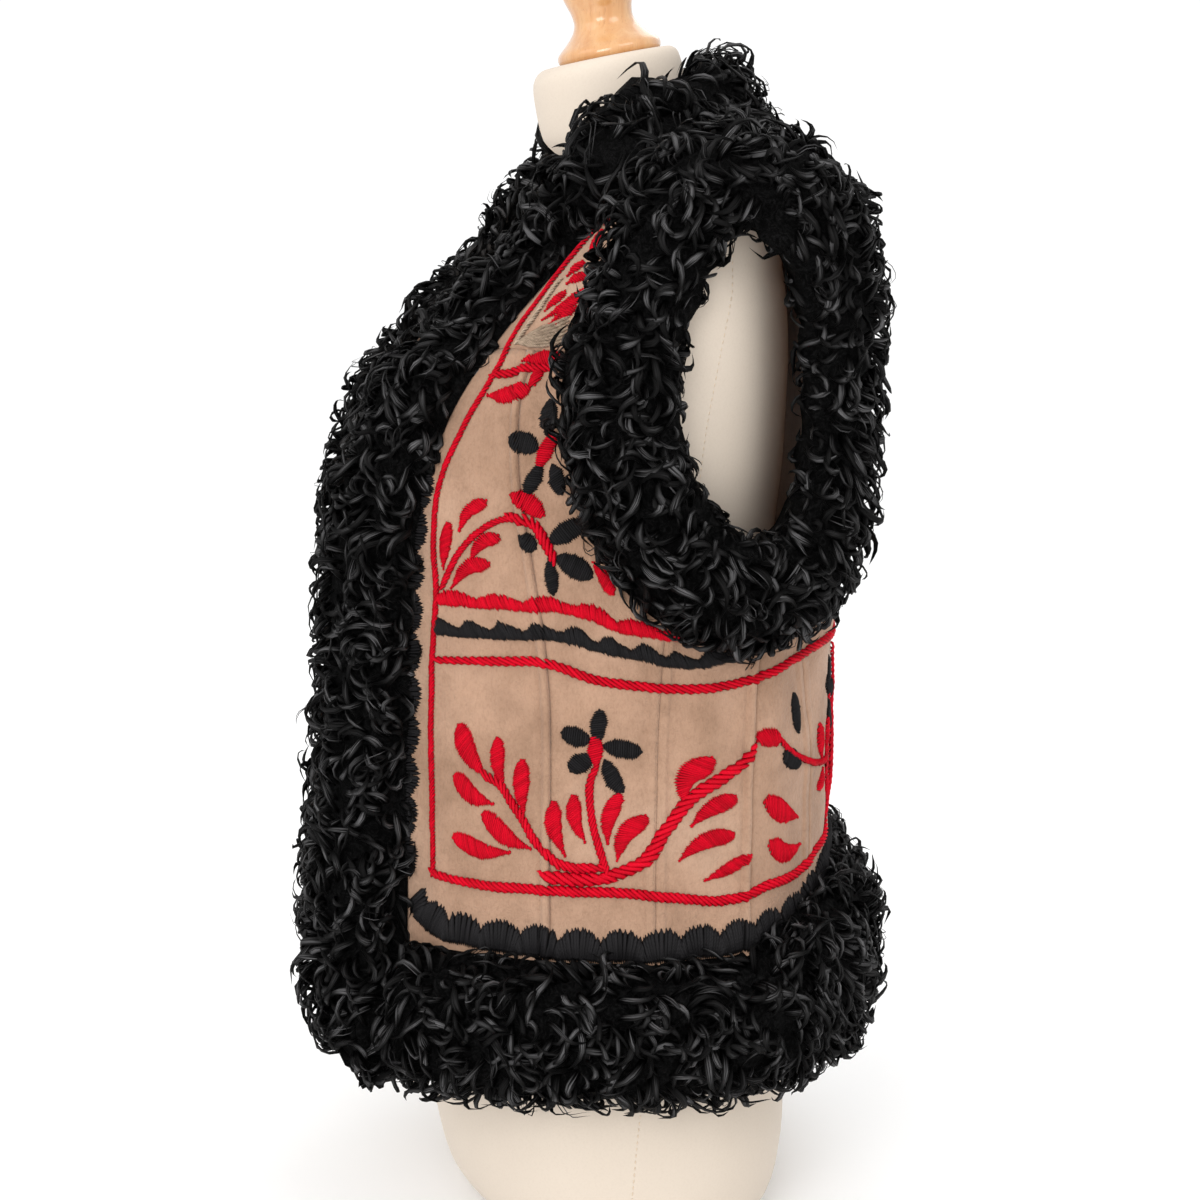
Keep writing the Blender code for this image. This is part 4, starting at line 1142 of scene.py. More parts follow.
RED_WAVE_LINE = in_metres([(-262, 424), (-200, 424), (-140, 420), (-100, 415), (-60, 407), (-20, 401.5),
                           (2, 403.5), (26, 408), (44, 414.5), (62, 418.5), (100, 419), (139, 419)])
BLACK_TEETH_LINE = in_metres([(-262, 407), (-200, 407), (-140, 404), (-100, 398), (-60, 390), (-18, 385),
                              (12.5, 390.5), (36.5, 395.5), (61, 401.5), (98, 401), (139, 400.5)])
SCALLOP_LINE = in_metres([(-264, 239), (-200, 239), (-150, 231), (-110, 216), (-70, 209), (0, 207),
                          (60, 208.5), (118, 211), (144, 216), (160, 229)])
FRONT_SCALLOP_LOW_Z = 0.250
FRONT_SCALLOP_HIGH_Z = 0.505
FRONT_SCALLOP_INSET = 0.0375
SCALLOP_PERIOD = 0.0250
SCALLOP_THREAD = 0.0040
TOOTH_PERIOD = 0.0215
WAVE_PERIOD = 0.0290
FAN_FOOT = (0.1240, 0.5755)
FAN_CORDS = 7


def scallops(low, rise, fullness, spread):
    """The stitches of a row of scallops, which fan out from the middle of each."""
    def heights_at(run):
        phase = (run / SCALLOP_PERIOD) % 1.0
        return low + rise * np.sin(math.pi * phase) ** fullness, spread * (phase - 0.5)
    return heights_at


def tooth_heights(run):
    """Stitches of a band whose edge rises slowly and falls steeply, like a saw's teeth."""
    phase = (run / TOOTH_PERIOD) % 1.0
    peak = np.where(phase < 0.62, smooth_share(phase, 0.0, 0.62), 1.0 - smooth_share(phase, 0.62, 1.0))
    return 0.0060 + 0.0050 * peak, BAND_LEAN


def wave_heights(run):
    phase = (run / WAVE_PERIOD) % 1.0
    return 0.0054 + 0.0044 * np.sin(math.pi * phase), BAND_LEAN


def moved(g_shift, z_shift):
    """A change that moves a line."""
    return lambda line: [(g + g_shift, z + z_shift) for g, z in line]


def turned_over(line):
    """The upper sprig mirrored to the back."""
    return [(2.0 * BACK_SPRIG_MIDDLE_G - g, z + BACK_SPRIG_RISE) for g, z in line]


# How flowers and the plant's foot are moved to repeat on the back
TO_FLOWER = moved(-0.2000, 0.0120)
TO_PLANT = moved(-0.2620, 0.0050)
TO_UPPER_FLOWER = moved(-0.2900, 0.0450)

# Things stitched one after another, and where their lines go
Motif = namedtuple("Motif", "stems leaves petals change", defaults=((), (), (), list))


def add_motifs(work, *motifs):
    for motif in motifs:
        for item in motif.stems:
            add_rope(work, motif.change(item.line), *item[1:])
        for item in motif.leaves:
            add_satin(work, motif.change(item.line), item.width)
        for item in motif.petals:
            add_satin(work, motif.change(item.line), item.width, widest=0.52, base_power=0.55, slant=0.15)


def add_border(work):
    """The scalloped edge along the hem fur and up beside the front fur."""
    add_band(work, SCALLOP_LINE, scallops(0.0030, 0.0180, 0.70, 0.75), SCALLOP_THREAD, 0.0002)
    z = np.linspace(FRONT_SCALLOP_LOW_Z, FRONT_SCALLOP_HIGH_Z, 12)
    front = list(zip(VEST.front_end(z) - FRONT_SCALLOP_INSET, z))
    add_band(work, front, scallops(0.0045, 0.0110, 0.85, 0.90))


def add_fan(work):
    """Cords spread like a fan from one foot, and the cord beside them."""
    for share in np.linspace(0.0, 1.0, FAN_CORDS):
        tip = (0.0920 + 0.0035 * share, 0.5790 + 0.0135 * share)
        bend = (0.1090 + 0.0020 * share, 0.5755 + 0.0100 * share)
        add_rope(work, [FAN_FOOT, bend, tip], 0.0021, rise=0.0014)
    add_motifs(work, Motif([YOKE_CORD]))


# Each piece: its name and thread, and what is stitched. Each has its own random seed, one after another
EMBROIDERY = (
    ("embroidered_lines", "red", add_motifs, Motif([FRONT_LINE, HEM_LINE, WAIST_LINE])),
    ("chest_sprig_red", "red", add_motifs,
     Motif(UPPER_SPRIG_STEMS + [CHEST_STEM], UPPER_SPRIG_LEAVES + CHEST_LEAVES + YOKE_LEAVES,
           [UPPER_SPRIG_BUD, UPPER_FLOWER_HEART])),
    ("chest_sprig_black", "black", add_motifs, Motif(petals=UPPER_SPRIG_PETALS + UPPER_FLOWER_PETALS)),
    ("hem_plant_red", "red", add_motifs,
     Motif(PLANT_STEMS + [PLANT_STEM], PLANT_LEAVES + PLANT_BASE_LEAVES, [PLANT_FLOWER_HEART])),
    ("hem_plant_black", "black", add_motifs, Motif(petals=PLANT_FLOWER_PETALS + PLANT_SIDE_PETALS)),
    ("back_motifs_red", "red", add_motifs,
     Motif(BACK_STEMS),
     Motif(petals=[PLANT_FLOWER_HEART], change=TO_FLOWER),
     Motif([PLANT_STEM], PLANT_BASE_LEAVES, [PLANT_FLOWER_HEART], TO_PLANT),
     Motif(UPPER_SPRIG_STEMS, UPPER_SPRIG_LEAVES[:4], [UPPER_SPRIG_BUD], turned_over),
     Motif(petals=[UPPER_FLOWER_HEART], change=TO_UPPER_FLOWER)),
    ("back_motifs_black", "black", add_motifs,
     Motif(petals=PLANT_FLOWER_PETALS, change=TO_FLOWER),
     Motif(petals=PLANT_FLOWER_PETALS, change=TO_PLANT),
     Motif(petals=UPPER_SPRIG_PETALS, change=turned_over),
     Motif(petals=UPPER_FLOWER_PETALS, change=TO_UPPER_FLOWER)),
    ("wave_band", "red", add_band, RED_WAVE_LINE, wave_heights),
    ("toothed_band", "black", add_band, BLACK_TEETH_LINE, tooth_heights),
    ("scalloped_border", "black", add_border),
    ("corded_fan", "tan", add_fan),
)


def make_embroidery(side, suffix, threads):
    seed = 11 if side > 0.0 else 23
    for index, (name, thread, add, *things) in enumerate(EMBROIDERY):
        work = Stitching(seed + index)
        add(work, *things)
        work.make(name + "_" + suffix, side, threads[thread])


# ---- machine stitching along the seams

TOPSTITCH_PITCH = 0.0042
TOPSTITCH_LENGTH = 0.0026
TOPSTITCH_WIDTH = 0.0008
TOPSTITCH_LOW_Z = 0.205
TOPSTITCH_STOP = 0.01
SEAM_STITCH_OFFSET = 0.0014


def add_topstitch(work, line, offset, high_z):
    low = np.arange(TOPSTITCH_LOW_Z, high_z, TOPSTITCH_PITCH)
    starts, ends = [np.stack([line(z) + offset, z], axis=1) for z in (low, low + TOPSTITCH_LENGTH)]
    work.add(starts, ends, TOPSTITCH_WIDTH, 0.0001, 0.0001)


def make_topstitching(side, suffix, thread):
    work = Stitching(71 if side > 0.0 else 72)
    add_topstitch(work, front_princess, LAP_WIDTH + 0.0004, YOKE_SEAM_Z - 0.004)
    for offset in (-STRIP_HALF_WIDTH, SEAM_STITCH_OFFSET, STRIP_HALF_WIDTH):
        add_topstitch(work, side_seam, offset, SIDE_MEETS_ARMHOLE_Z - TOPSTITCH_STOP)
    for offset in (-STRIP_HALF_WIDTH, STRIP_HALF_WIDTH):
        add_topstitch(work, back_princess, offset, PRINCESS_MEETS_ARMHOLE_Z - TOPSTITCH_STOP)
    work.make("seam_stitches_" + suffix, side, thread, sink=0.0002)


# ---- fur

FUR_NODES = ["front_fur_left", "front_fur_right", "neck_fur", "hem_fur_left", "hem_fur_back",
             "hem_fur_right", "armhole_fur_left", "armhole_fur_right"]
# How near the cloth or the form covers a face of fur, and how far curls stray from the fur over cloth
SEATED_REACH = 0.006
HIDDEN_REACH = 0.004
STRAY_REACH = 0.0035
HEM_STRAY_REACH = 0.0090
CLOTH_CLEARANCE = 0.0006
BACK_HEM_RISE = 0.030
# A face is on the outer side when it looks this much away from the body's middle line
OUTER_SHARE = 0.2
SHOULDER_MIDDLE_Z = 0.45
CURL_RINGS = 7
PELT_SINK = 0.0050
CURL_SINK = 0.0040
TUFT_HEIGHT = 0.0028
TUFT_PITCH = 0.036
FLOW_PITCH = 0.058
FLOW_SPREAD = 0.38
TOP_DRIFT = 1.8
BEND_SHARE = 0.66
SWAP_SHARE = 0.25
NORMAL_KEPT = 0.45
ASIDE_SPREAD = 0.16
LIFT_SPREAD = 0.10
ROLL_SPREAD = 0.45
# Least and greatest share of a curl's turn, rise, tip height and width
TURN_RANGE = (0.6, 1.4)
RISE_RANGE = (0.45, 1.35)
TIP_RANGE = (-0.2, 1.3)
WIDTH_RANGE = (0.70, 1.25)
OPENING_SHORTENS = 0.25
COLLAR_FULLNESS = 0.0100
COLLAR_FRONT_FULLNESS = 0.0120
FRONT_CHEST_FULLNESS = -0.0050
RING_BACK_FULLNESS = -0.0080
RING_FRONT_FULLNESS = -0.0120
OPENING_FULLNESS = -0.0020
OPENING_TOP_FULLNESS = -0.0050

# Curls of one kind: how many to a square metre, the strands side by side in each, a strand's section,
# width and thickness, the curl's half width, its length, its height at the middle, and how tightly it turns
Curl = namedtuple("Curl", "density strands section width flatness spread low_length high_length rise turns")
TUFT = Curl(13800.0, 1, GROOVED, 0.0058, 0.62, 0.0, 0.022, 0.036, 0.0066, 1.05)
WISP = Curl(800.0, 2, HALF_ROUND, 0.0011, 1.20, 0.0020, 0.022, 0.034, 0.0085, 1.00)


def risen(place):
    """The hem's fur reaches higher across the back."""
    rise = BACK_HEM_RISE * smooth_share(place.y, 0.055, 0.125) * smooth_share(place.z, 0.130, 0.190)
    return place + Vector((0.0, 0.0, float(rise)))


class Ground:
    """Solids that fur lies on or meets, for finding the nearest place."""

    def __init__(self, names):
        self.points = []
        self.faces = []
        for name in names:
            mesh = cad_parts[name].data
            shift = len(self.points)
            self.points += [risen(vertex.co) if name.startswith("hem") else vertex.co.copy()
                            for vertex in mesh.vertices]
            self.faces += [[shift + index for index in polygon.vertices] for polygon in mesh.polygons]
        self.tree = BVHTree.FromPolygons(self.points, self.faces)
        outer = [face for face in self.faces if self.faces_out(face)]
        self.outer_tree = BVHTree.FromPolygons(self.points, outer)

    def faces_out(self, face):
        """Whether a face looks away from the middle of the body."""
        first, second, third = [self.points[index] for index in face[:3]]
        away = first - Vector((0.0, 0.0, min(first.z, SHOULDER_MIDDLE_Z)))
        return (second - first).cross(third - first).normalized().dot(away.normalized()) > OUTER_SHARE

    def covers(self, place, normal, reach):
        return self.tree.ray_cast(Vector(place), Vector(normal), reach)[0] is not None


def fur_height(name, places, normals, opening, sink):
    """How far the fur stands from its solid.

    It has broad lumps. It is fuller at the collar and its front ends, and lower at the chest, behind and
    in front of the armholes, and toward their openings.
    """
    x, y, z = [2.0 * math.pi / TUFT_PITCH * places[..., k] for k in range(3)]
    waves = np.sin(x + 0.6 * z) * np.sin(0.9 * y - 0.8 * z)
    waves = waves + np.sin(1.1 * z + 0.7 * x) * np.sin(y + 0.3 * x)
    height = 0.5 * TUFT_HEIGHT * waves - sink
    y = places[..., 1]
    z = places[..., 2]
    if name == "neck_fur":
        height = height + COLLAR_FULLNESS
    if name.startswith("front"):
        chest = smooth_share(z, 0.555, 0.590) * (1.0 - smooth_share(z, 0.635, 0.655))
        height = height + FRONT_CHEST_FULLNESS * chest
    if opening is None:
        front = smooth_share(-y, -0.035, 0.015) * smooth_share(z, 0.645, 0.675)
        return height + COLLAR_FRONT_FULLNESS * front
    rim = smooth_share(np.sum(unit(opening - places) * normals, axis=-1), 0.15, 0.65)
    back = smooth_share(y, 0.03, 0.08) * smooth_share(z, 0.58, 0.65)
    front = smooth_share(-y, 0.020, 0.055) * smooth_share(z, 0.572, 0.602)
    outer = RING_BACK_FULLNESS * back + RING_FRONT_FULLNESS * front
    inner = sink + OPENING_FULLNESS + OPENING_TOP_FULLNESS * smooth_share(z, 0.625, 0.655)
    return height + outer * (1.0 - rim) + inner * rim


def fur_flow(places):
    """The way the curls lie, alike over a patch, and the side each patch curls to."""
    x, y, z = [2.0 * math.pi / FLOW_PITCH * places[:, k] for k in range(3)]
    ways = [np.sin(1.1 * y + 0.7 * z), np.sin(0.9 * z - 0.8 * x + 1.0), np.sin(x + 1.2 * y + 2.0) - 0.35]
    return np.stack(ways, axis=1), np.sin(0.8 * z - 1.1 * x + 0.6 * y)


def evenly_spread(places, number, pitch):
    """The indices of some of the places, none too near another while that can be had."""
    kept = []
    free = np.full(len(places), 1.0)
    for apart in (0.80, 0.55, 0.0):
        for index, place in enumerate(places):
            if len(kept) < number and free[index] > apart * pitch:
                kept.append(index)
                free = np.minimum(free, np.linalg.norm(places - place, axis=1))
    return kept


def fur_roots(ground, suede, body, random, density):
    """Places on the open faces of a fur strip, spread by area."""
    corners = np.array([[tuple(ground.points[index]) for index in face[:3]] for face in ground.faces])
    normals = np.cross(corners[:, 1] - corners[:, 0], corners[:, 2] - corners[:, 0])
    areas = 0.5 * np.linalg.norm(normals, axis=1)
    normals = unit(normals)
    places = corners.mean(axis=1) + normals * 0.0002
    open_face = np.array([not suede.covers(c, n, SEATED_REACH) for c, n in zip(places, normals)])
    in_sight = np.array([not body.covers(c, n, HIDDEN_REACH) for c, n in zip(places, normals)])
    weights = areas * open_face * in_sight
    number = int(round(density * weights.sum()))
    picked = random.choice(len(areas), 4 * number, p=weights / weights.sum())
    a = np.sqrt(random.random(len(picked)))[:, None]
    b = random.random(len(picked))[:, None]
    roots = corners[picked, 0] * (1.0 - a) + corners[picked, 1] * a * (1.0 - b) + corners[picked, 2] * a * b
    kept = evenly_spread(roots, number, 1.0 / math.sqrt(density))
    return roots[kept], normals[picked][kept], open_face


def grow_curls(ground, suede, body, random, kind, opening, stray):
    """Middle lines of curls on a fur strip, with the ground's normals and the fur's depth under them."""
    roots, normals, open_face = fur_roots(ground, suede, body, random, kind.density)
    count = len(roots)
    size = np.ones(count)
    if opening is not None:
        toward = unit(opening - roots)
        size = 1.0 - OPENING_SHORTENS * np.clip(np.sum(toward * normals, axis=1), 0.0, 1.0)
    lengths = random.uniform(kind.low_length, kind.high_length, count) * size
    drifts, sides = fur_flow(roots)
    drifts = drifts + random.normal(0.0, FLOW_SPREAD, (count, 3))
    if stray > STRAY_REACH:
        top_z = roots[:, 2].max()
        drifts[:, 2] += TOP_DRIFT * smooth_share(roots[:, 2], top_z - 0.020, top_z - 0.004)
    sides = np.where(sides + random.normal(0.0, FLOW_SPREAD, count) > 0.0, 1.0, -1.0)
    turn = random.uniform(*TURN_RANGE, count) * sides * kind.turns / size
    swap = random.random(count) < SWAP_SHARE
    lines = np.zeros((count, CURL_RINGS, 3))
    outs = np.zeros((count, CURL_RINGS, 3))
    for index in range(count):
        place, normal, drift = [Vector(values[index]) for values in (roots, normals, drifts)]
        heading = (drift - normal * drift.dot(normal)).normalized()
        step = lengths[index] / (CURL_RINGS - 1)
        for ring in range(CURL_RINGS):
            lines[index, ring] = place
            outs[index, ring] = normal
            share = ring / (CURL_RINGS - 1)
            bend = turn[index] * (0.25 + 0.75 * share)
            if swap[index] and share > 0.45:
                bend = -bend
            heading = (heading + normal.cross(heading) * math.tan(BEND_SHARE * bend)).normalized()
            ahead = place + heading * step
            found, found_normal, face, apart = ground.tree.find_nearest(ahead)
            if not open_face[face]:
                edge = found + (ahead - found) * min(1.0, stray / max(apart, 1e-6))
                found, found_normal, _, _ = suede.outer_tree.find_nearest(edge)
            place = found
            normal = (normal * NORMAL_KEPT + found_normal * (1.0 - NORMAL_KEPT)).normalized()
            heading = (heading - normal * heading.dot(normal)).normalized()
    for values in (lines, outs):
        for _ in range(3):
            values[:, 1:-1] = 0.25 * values[:, :-2] + 0.5 * values[:, 1:-1] + 0.25 * values[:, 2:]
    depths = [[suede.outer_tree.find_nearest(Vector(point))[3] for point in line] for line in lines]
    return lines, unit(outs), np.array(depths), size


def make_curls(name, ground, suede, body, random, material, opening):
    """All the locks and wisps of one fur strip, as one piece."""
    sections, faces, uvs = [], [], []
    shift = 0
    tubes = 0
    stray = HEM_STRAY_REACH if name.startswith("hem") else STRAY_REACH
    share = np.linspace(0.0, 1.0, CURL_RINGS)
    gather = 0.50 + 0.62 * np.sin(math.pi * share ** 0.8) - 0.42 * share ** 2
    taper = (0.55 + 0.45 * smooth_share(share, 0.0, 0.30)) * (1.0 - share ** 1.35) ** 0.9 + 0.015
    for kind in (TUFT, WISP):
        lines, outs, depths, size = grow_curls(ground, suede, body, random, kind, opening, stray)
        count = len(lines)
        across = unit(np.cross(outs, unit(np.gradient(lines, axis=1))))
        rise = kind.rise * random.uniform(*RISE_RANGE, (count, 1)) * size[:, None] ** 2
        tip = random.uniform(*TIP_RANGE, (count, 1))
        height = rise * (np.sin(math.pi * share ** 0.85) + tip * share ** 2)
        height = height - PELT_SINK * (1.0 - share) ** 2
        height = height + fur_height(name, lines, outs, opening, CURL_SINK)
        height = np.maximum(height, CLOTH_CLEARANCE - depths)
        for place in np.linspace(-1.0, 1.0, kind.strands):
            aside = kind.spread * (place + random.normal(0.0, ASIDE_SPREAD, (count, 1))) * gather
            lift = height + random.normal(0.0, LIFT_SPREAD, (count, 1)) * kind.rise * (0.3 + share)
            centres = lines + across * aside[..., None] + outs * lift[..., None]
            way = unit(np.gradient(centres, axis=1))
            flat = unit(np.cross(outs, way))
            up = np.cross(way, flat)
            roll = random.normal(0.0, ROLL_SPREAD, (count, 1, 1))
            sideways = flat * np.cos(roll) - up * np.sin(roll)
            up = up * np.cos(roll) + flat * np.sin(roll)
            widths = 0.5 * kind.width * random.uniform(*WIDTH_RANGE, (count, 1)) * taper
            points = tube_points(kind.section, centres, sideways, up, widths, widths * kind.flatness)
            sections.append(points.reshape(-1, 3))
            faces += [part + shift for part in tube_faces(kind.section, count, CURL_RINGS)]
            uv = tube_uvs(kind.section, np.broadcast_to(share, widths.shape), kind.width / TUFT.width)
            uvs.append(uv + (tubes, 0.0))
            shift += len(uv)
            tubes += count
    curls = make_mesh(name + "_curls", np.concatenate(sections), faces, material, np.concatenate(uvs))
    finish_piece(curls)


def make_pelt(name, ground, suede, material, opening):
    """The dark body of a fur strip, lumpy and a little lower than the curls on it."""
    work = bmesh.new()
    verts = [work.verts.new(point) for point in ground.points]
    for face in ground.faces:
        work.faces.new([verts[index] for index in face])
    bmesh.ops.remove_doubles(work, verts=work.verts, dist=0.00005)
    bmesh.ops.subdivide_edges(work, edges=work.edges, cuts=1, use_grid_fill=True, smooth=0.6)
    bmesh.ops.recalc_face_normals(work, faces=work.faces)
    work.normal_update()
    moves = []
    for vert in work.verts:
        near = suede.tree.find_nearest(vert.co)[3]
        if near > SEATED_REACH / 2 and not suede.covers(vert.co, vert.normal, SEATED_REACH):
            place = np.array(vert.co)
            height = fur_height(name, place, np.array(vert.normal), opening, CURL_SINK + PELT_SINK)
            moves.append((vert, vert.normal * float(height)))
    for vert, move in moves:
        vert.co += move
    pelt = object_from(work, name + "_pelt", material)
    pelt.data.shade_smooth()
    finish_piece(pelt, [name])


def make_fur(curl_material, under_material):
    stand = ("dress_form", "finial")
    suede = Ground([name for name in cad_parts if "fur" not in name and name not in stand])
    body = Ground(["dress_form"])
    for index, name in enumerate(FUR_NODES):
        random = np.random.default_rng(500 + index)
        ground = Ground([name])
        opening = None
        if name.startswith("armhole"):
            side = 1.0 if name.endswith("left") else -1.0
            opening = VEST.at(side, np.array([ARMHOLE_G]), np.array([ARMHOLE_Z]))[0][0]
        make_pelt(name, ground, suede, under_material, opening)
        make_curls(name, ground, suede, body, random, curl_material, opening)


# ---- dress form and finial

# Level sections of the form: lengths in millimetres, and how square they are
FormRing = namedtuple("FormRing", "z half_width front_y back_y square")
FORM_RINGS = [FormRing(*metres(row[:4]), *row[4:]) for row in (
    (  0,  128,  -78,  82, 0.94),
    (  4,  146,  -94,  97, 0.92),
    ( 14,  160, -106, 108,  0.9),
    ( 30,  168, -116, 112,  0.9),
    ( 60,  172, -121, 115,  0.9),
    (120,  172, -122, 115,  0.9),
    (190,  165, -114, 113, 0.92),
    (260,  150, -106, 103, 0.94),
    (330,  140, -101,  96, 0.96),
    (400,  146, -107,  99, 0.96),
    (460,  156, -114, 106, 0.92),
    (510,  163, -110, 110,  0.9),
    (560,  167,  -90, 111,  0.9),
    (600,  169,  -62, 108,  0.9),
    (630,  167,  -36, 103,  0.9),
    (648,  164,  -20, 103,  0.9),
    (660,  149,   -8,  99, 0.92),
    (671,  120,   -2,  92, 0.94),
    (680,   86,  -12,  81, 0.96),
    (690,   60,  -36,  66,  1.0),
    (699,   56,  -44,  58,  1.0),
    (718, 52.5,  -48,  52,  1.0),
    (740, 51.5,  -50,  46,  1.0),
    (750,   49,  -47,  42,  1.0),
)]
NECK_TILT = math.radians(11.0)
NECK_TILT_START_Z = 0.699
FORM_SIDES = 96
FORM_FOOT_HEIGHTS = (0.0, 0.002, 0.005, 0.009, 0.014, 0.020, 0.026)
FORM_INSET = 0.0005
FORM_RIM = 0.0045


def form_points(z, turn, inset=FORM_INSET):
    """Points of the dress form at heights z and turns round it, from the middle of its back."""
    values = read_table(FORM_RINGS, z)
    half_width, front_y, back_y, square = [values[:, k] for k in range(4)]
    side_y = 0.5 * (front_y + back_y)
    tilt = math.tan(NECK_TILT) * smooth_share(z, NECK_TILT_START_Z, FORM_RINGS[-1].z)
    across = np.sign(np.sin(turn)) * np.abs(np.sin(turn)) ** square[..., None]
    along = np.sign(np.cos(turn)) * np.abs(np.cos(turn)) ** square[..., None]
    x = (half_width - inset)[:, None] * across
    y = side_y[:, None] + (0.5 * (back_y - front_y) - inset)[:, None] * along
    height = np.broadcast_to(np.asarray(z)[:, None], x.shape) + tilt[:, None] * y
    return np.stack([x, y, height], axis=-1)


def round_faces(rings, sides):
    """Faces round rings of points, closed by two more points, the foot's and the top's."""
    index = np.arange(rings * sides).reshape(rings, sides)
    after = np.roll(index, -1, axis=1)
    quads = np.stack([index[:-1], after[:-1], after[1:], index[1:]], axis=-1).reshape(-1, 4)
    foot = np.stack([np.full(sides, rings * sides), after[0], index[0]], axis=1)
    top = np.stack([np.full(sides, rings * sides + 1), index[-1], after[-1]], axis=1)
    return [quads, foot, top]


def toward_middle(ring, shares):
    """A ring's centre, and rings that are shares of it."""
    centre = ring.mean(axis=0)
    return centre, [centre + (ring - centre) * share for share in shares]


def make_form(material):
    top_z = FORM_RINGS[-1].z
    middle = np.concatenate([np.linspace(0.034, 0.630, 52), np.linspace(0.638, top_z - FORM_RIM, 30)])
    turn = np.linspace(0.0, 2.0 * math.pi, FORM_SIDES, endpoint=False)[None, :]
    rings = list(form_points(np.concatenate([FORM_FOOT_HEIGHTS, middle]), turn))
    for share in (0.35, 0.7, 0.9, 1.0):
        angle = 0.5 * math.pi * share
        inset = FORM_INSET + FORM_RIM * (1.0 - math.cos(angle))
        rings.append(form_points(np.array([top_z - FORM_RIM * (1.0 - math.sin(angle))]), turn, inset)[0])
    top_centre, top = toward_middle(rings[-1], (0.75, 0.5, 0.25))
    foot_centre, foot = toward_middle(rings[0], (0.3, 0.65))
    rings = foot + rings + top
    points = np.concatenate([*rings, [foot_centre, top_centre]])
    faces = [part[:, ::-1] for part in round_faces(len(rings), FORM_SIDES)]
    thing = make_mesh("dress_form_body", points, faces, material)
    finish_piece(thing, ["dress_form"])


# Seams of the form's cover: height and share of a turn from the middle of the back
FORM_SIDE_SEAM = [(0.018, 0.2600), (0.096, 0.2520), (0.300, 0.2280), (0.460, 0.2090), (0.523, 0.2065),
                  (0.602, 0.2080), (0.637, 0.2230), (0.648, 0.2330), (0.690, 0.2480), (0.720, 0.2500)]
FORM_BACK_SEAM = [(0.018, 0.0), (0.400, 0.0), (0.735, 0.0)]
FORM_FRONT_SEAM = [(0.018, 0.5), (0.400, 0.5), (0.735, 0.5)]
FORM_SEAMS = ((FORM_BACK_SEAM, 1.0), (FORM_FRONT_SEAM, 1.0), (FORM_SIDE_SEAM, 1.0), (FORM_SIDE_SEAM, -1.0))
FORM_STITCH_PITCH = 0.0042
FORM_STITCH_LENGTH = 0.0022
FORM_STITCH_WIDTH = 0.0009


def make_form_seams(material):
    """Rows of small hand stitches where the form's cover is joined: back, sides and front."""
    centres = []
    for seam, way in FORM_SEAMS:
        z = np.arange(seam[0][0], seam[-1][0], FORM_STITCH_PITCH)
        heights = [z + part * FORM_STITCH_LENGTH for part in (0.0, 0.5, 1.0)]
        turns = [2.0 * math.pi * way * read_table(seam, height) for height in heights]
        rows = [form_points(height, turn)[:, 0] for height, turn in zip(heights, turns)]
        centres.append(np.stack(rows, axis=1))
    centres = np.concatenate(centres)
    out = unit(centres * np.array([1.0, 1.0, 0.0]))
    way = unit(np.gradient(centres, axis=1))
    across = unit(np.cross(out, way))
    widths = np.broadcast_to(np.array([0.6, 1.0, 0.6]) * 0.5 * FORM_STITCH_WIDTH, centres.shape[:2])
    sections = tube_points(HALF_ROUND, centres, across, np.cross(way, across), widths, widths * 0.5)
    quads, caps = tube_faces(HALF_ROUND, len(centres), 3)
    along = np.broadcast_to(np.array([0.0, 0.5, 1.0]), centres.shape[:2])
    uvs = tube_uvs(HALF_ROUND, along)
    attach(make_mesh("form_seam_stitches", sections, [quads, caps], material, uvs), "root")


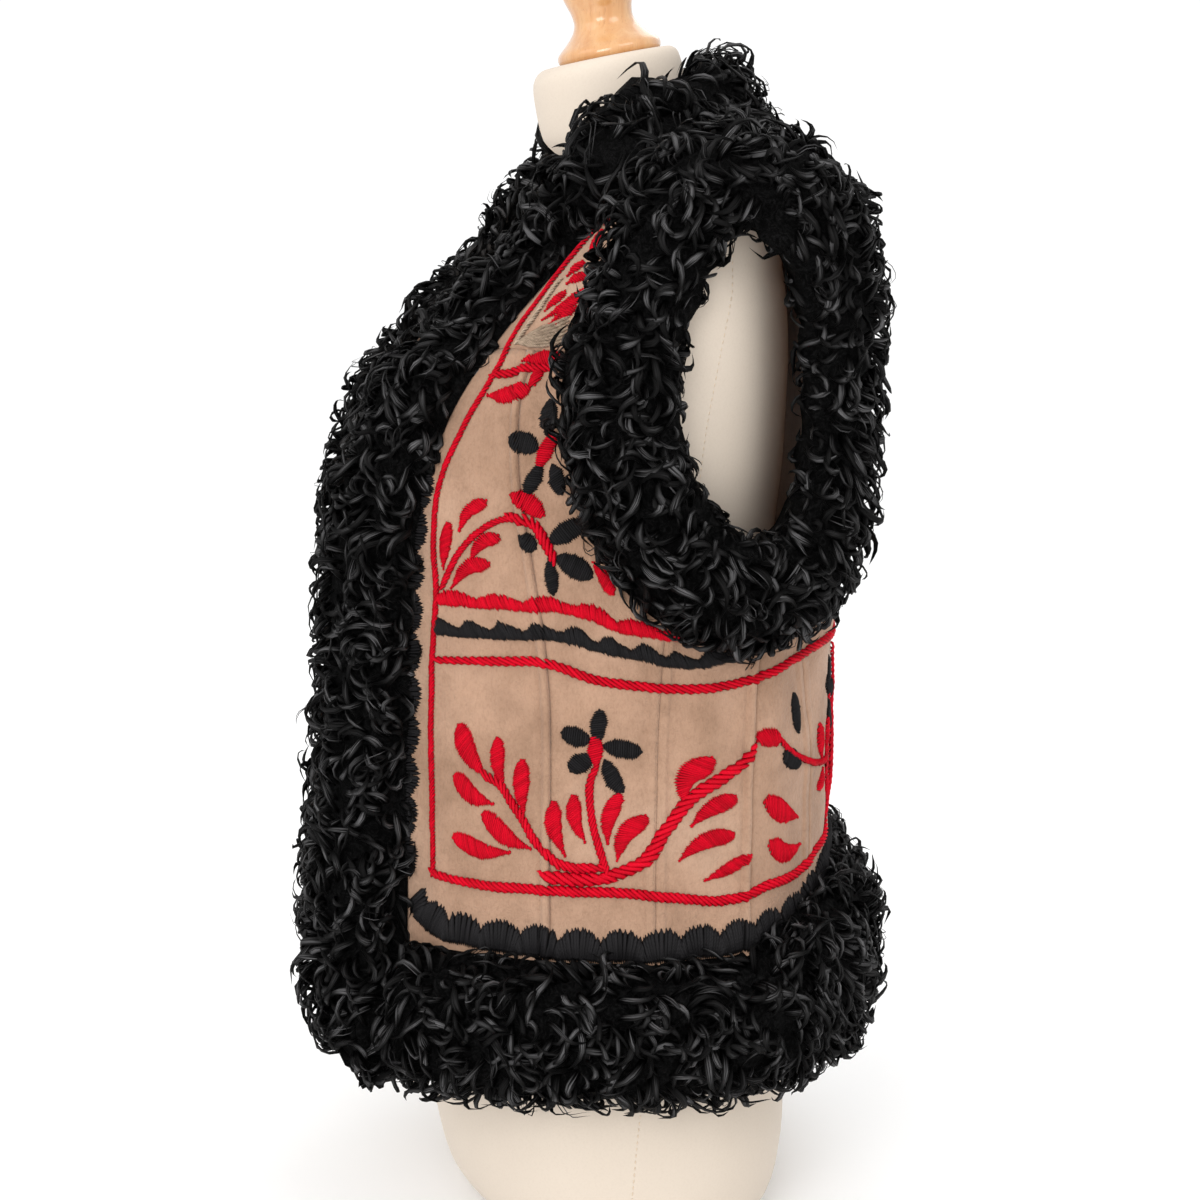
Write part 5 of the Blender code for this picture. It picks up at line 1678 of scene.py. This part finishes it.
# The knob's turning, in millimetres
FinialRing = namedtuple("FinialRing", "height radius")
FINIAL_PROFILE = [FinialRing(*metres(row)) for row in (
    (0, 32.2), (1.2, 33.2), (3.2, 33.6), (5.6, 33), (7.8, 31.2), (11, 27.6), (15, 23.6), (19, 20.6),
    (24, 19), (29, 19.5), (35, 21.4), (41, 23.2), (48, 24.3), (56, 24.6), (64, 23.6), (71, 21.3),
    (77, 18), (82, 13.6), (85.5, 9), (87.6, 4.2),
)]
FINIAL_TOP = 0.0884
FINIAL_SIDES = 72
FINIAL_GAP = 0.0004


def make_finial(material):
    heights = np.concatenate([[0.0], np.linspace(0.0003, FINIAL_PROFILE[-1].height, 70)])
    radii = read_table(FINIAL_PROFILE, heights)
    turn = np.linspace(0.0, 2.0 * math.pi, FINIAL_SIDES, endpoint=False)
    rings = np.stack([radii * np.cos(turn), radii * np.sin(turn),
                      np.broadcast_to(heights[:, None], (len(heights), FINIAL_SIDES))], axis=-1)
    points = np.concatenate([rings.reshape(-1, 3), [(0.0, 0.0, 0.0), (0.0, 0.0, FINIAL_TOP)]])
    x, y, z = points.T
    tall = y * math.sin(NECK_TILT) + z * math.cos(NECK_TILT)
    y = y * math.cos(NECK_TILT) - z * math.sin(NECK_TILT)
    points = np.stack([x, y, tall + FORM_RINGS[-1].z + FINIAL_GAP], axis=-1)
    thing = make_mesh("turned_finial", points, round_faces(len(heights), FINIAL_SIDES), material)
    finish_piece(thing, ["finial"])


# ---- floor

FLOOR_RADIUS = 14.0


def make_floor(material):
    work = bmesh.new()
    bmesh.ops.create_circle(work, cap_ends=True, segments=96, radius=FLOOR_RADIUS)
    object_from(work, "floor", material)


def main():
    make_camera()
    make_world()
    for light in LIGHTS:
        make_light(light)
    make_floor(floor_material())
    suede = suede_material()
    threads = {
        "red": thread_material("red_wool_thread", RED_LIGHT, RED_DARK, 0.62),
        "black": thread_material("black_wool_thread", BLACK_LIGHT, BLACK_DARK, 0.55),
        "tan": thread_material("tan_wool_thread", TAN_LIGHT, TAN_DARK, 0.7),
    }
    seam_thread = thread_material("seam_thread", SEAM_THREAD_LIGHT, SEAM_THREAD_DARK, 0.8)
    form_thread = form_thread_material()
    make_panels(suede)
    for side, suffix in SIDES:
        make_embroidery(side, suffix, threads)
        make_topstitching(side, suffix, seam_thread)
    make_fur(fur_material(), pelt_material())
    make_form(jersey_material())
    make_form_seams(form_thread)
    make_finial(wood_material())


main()
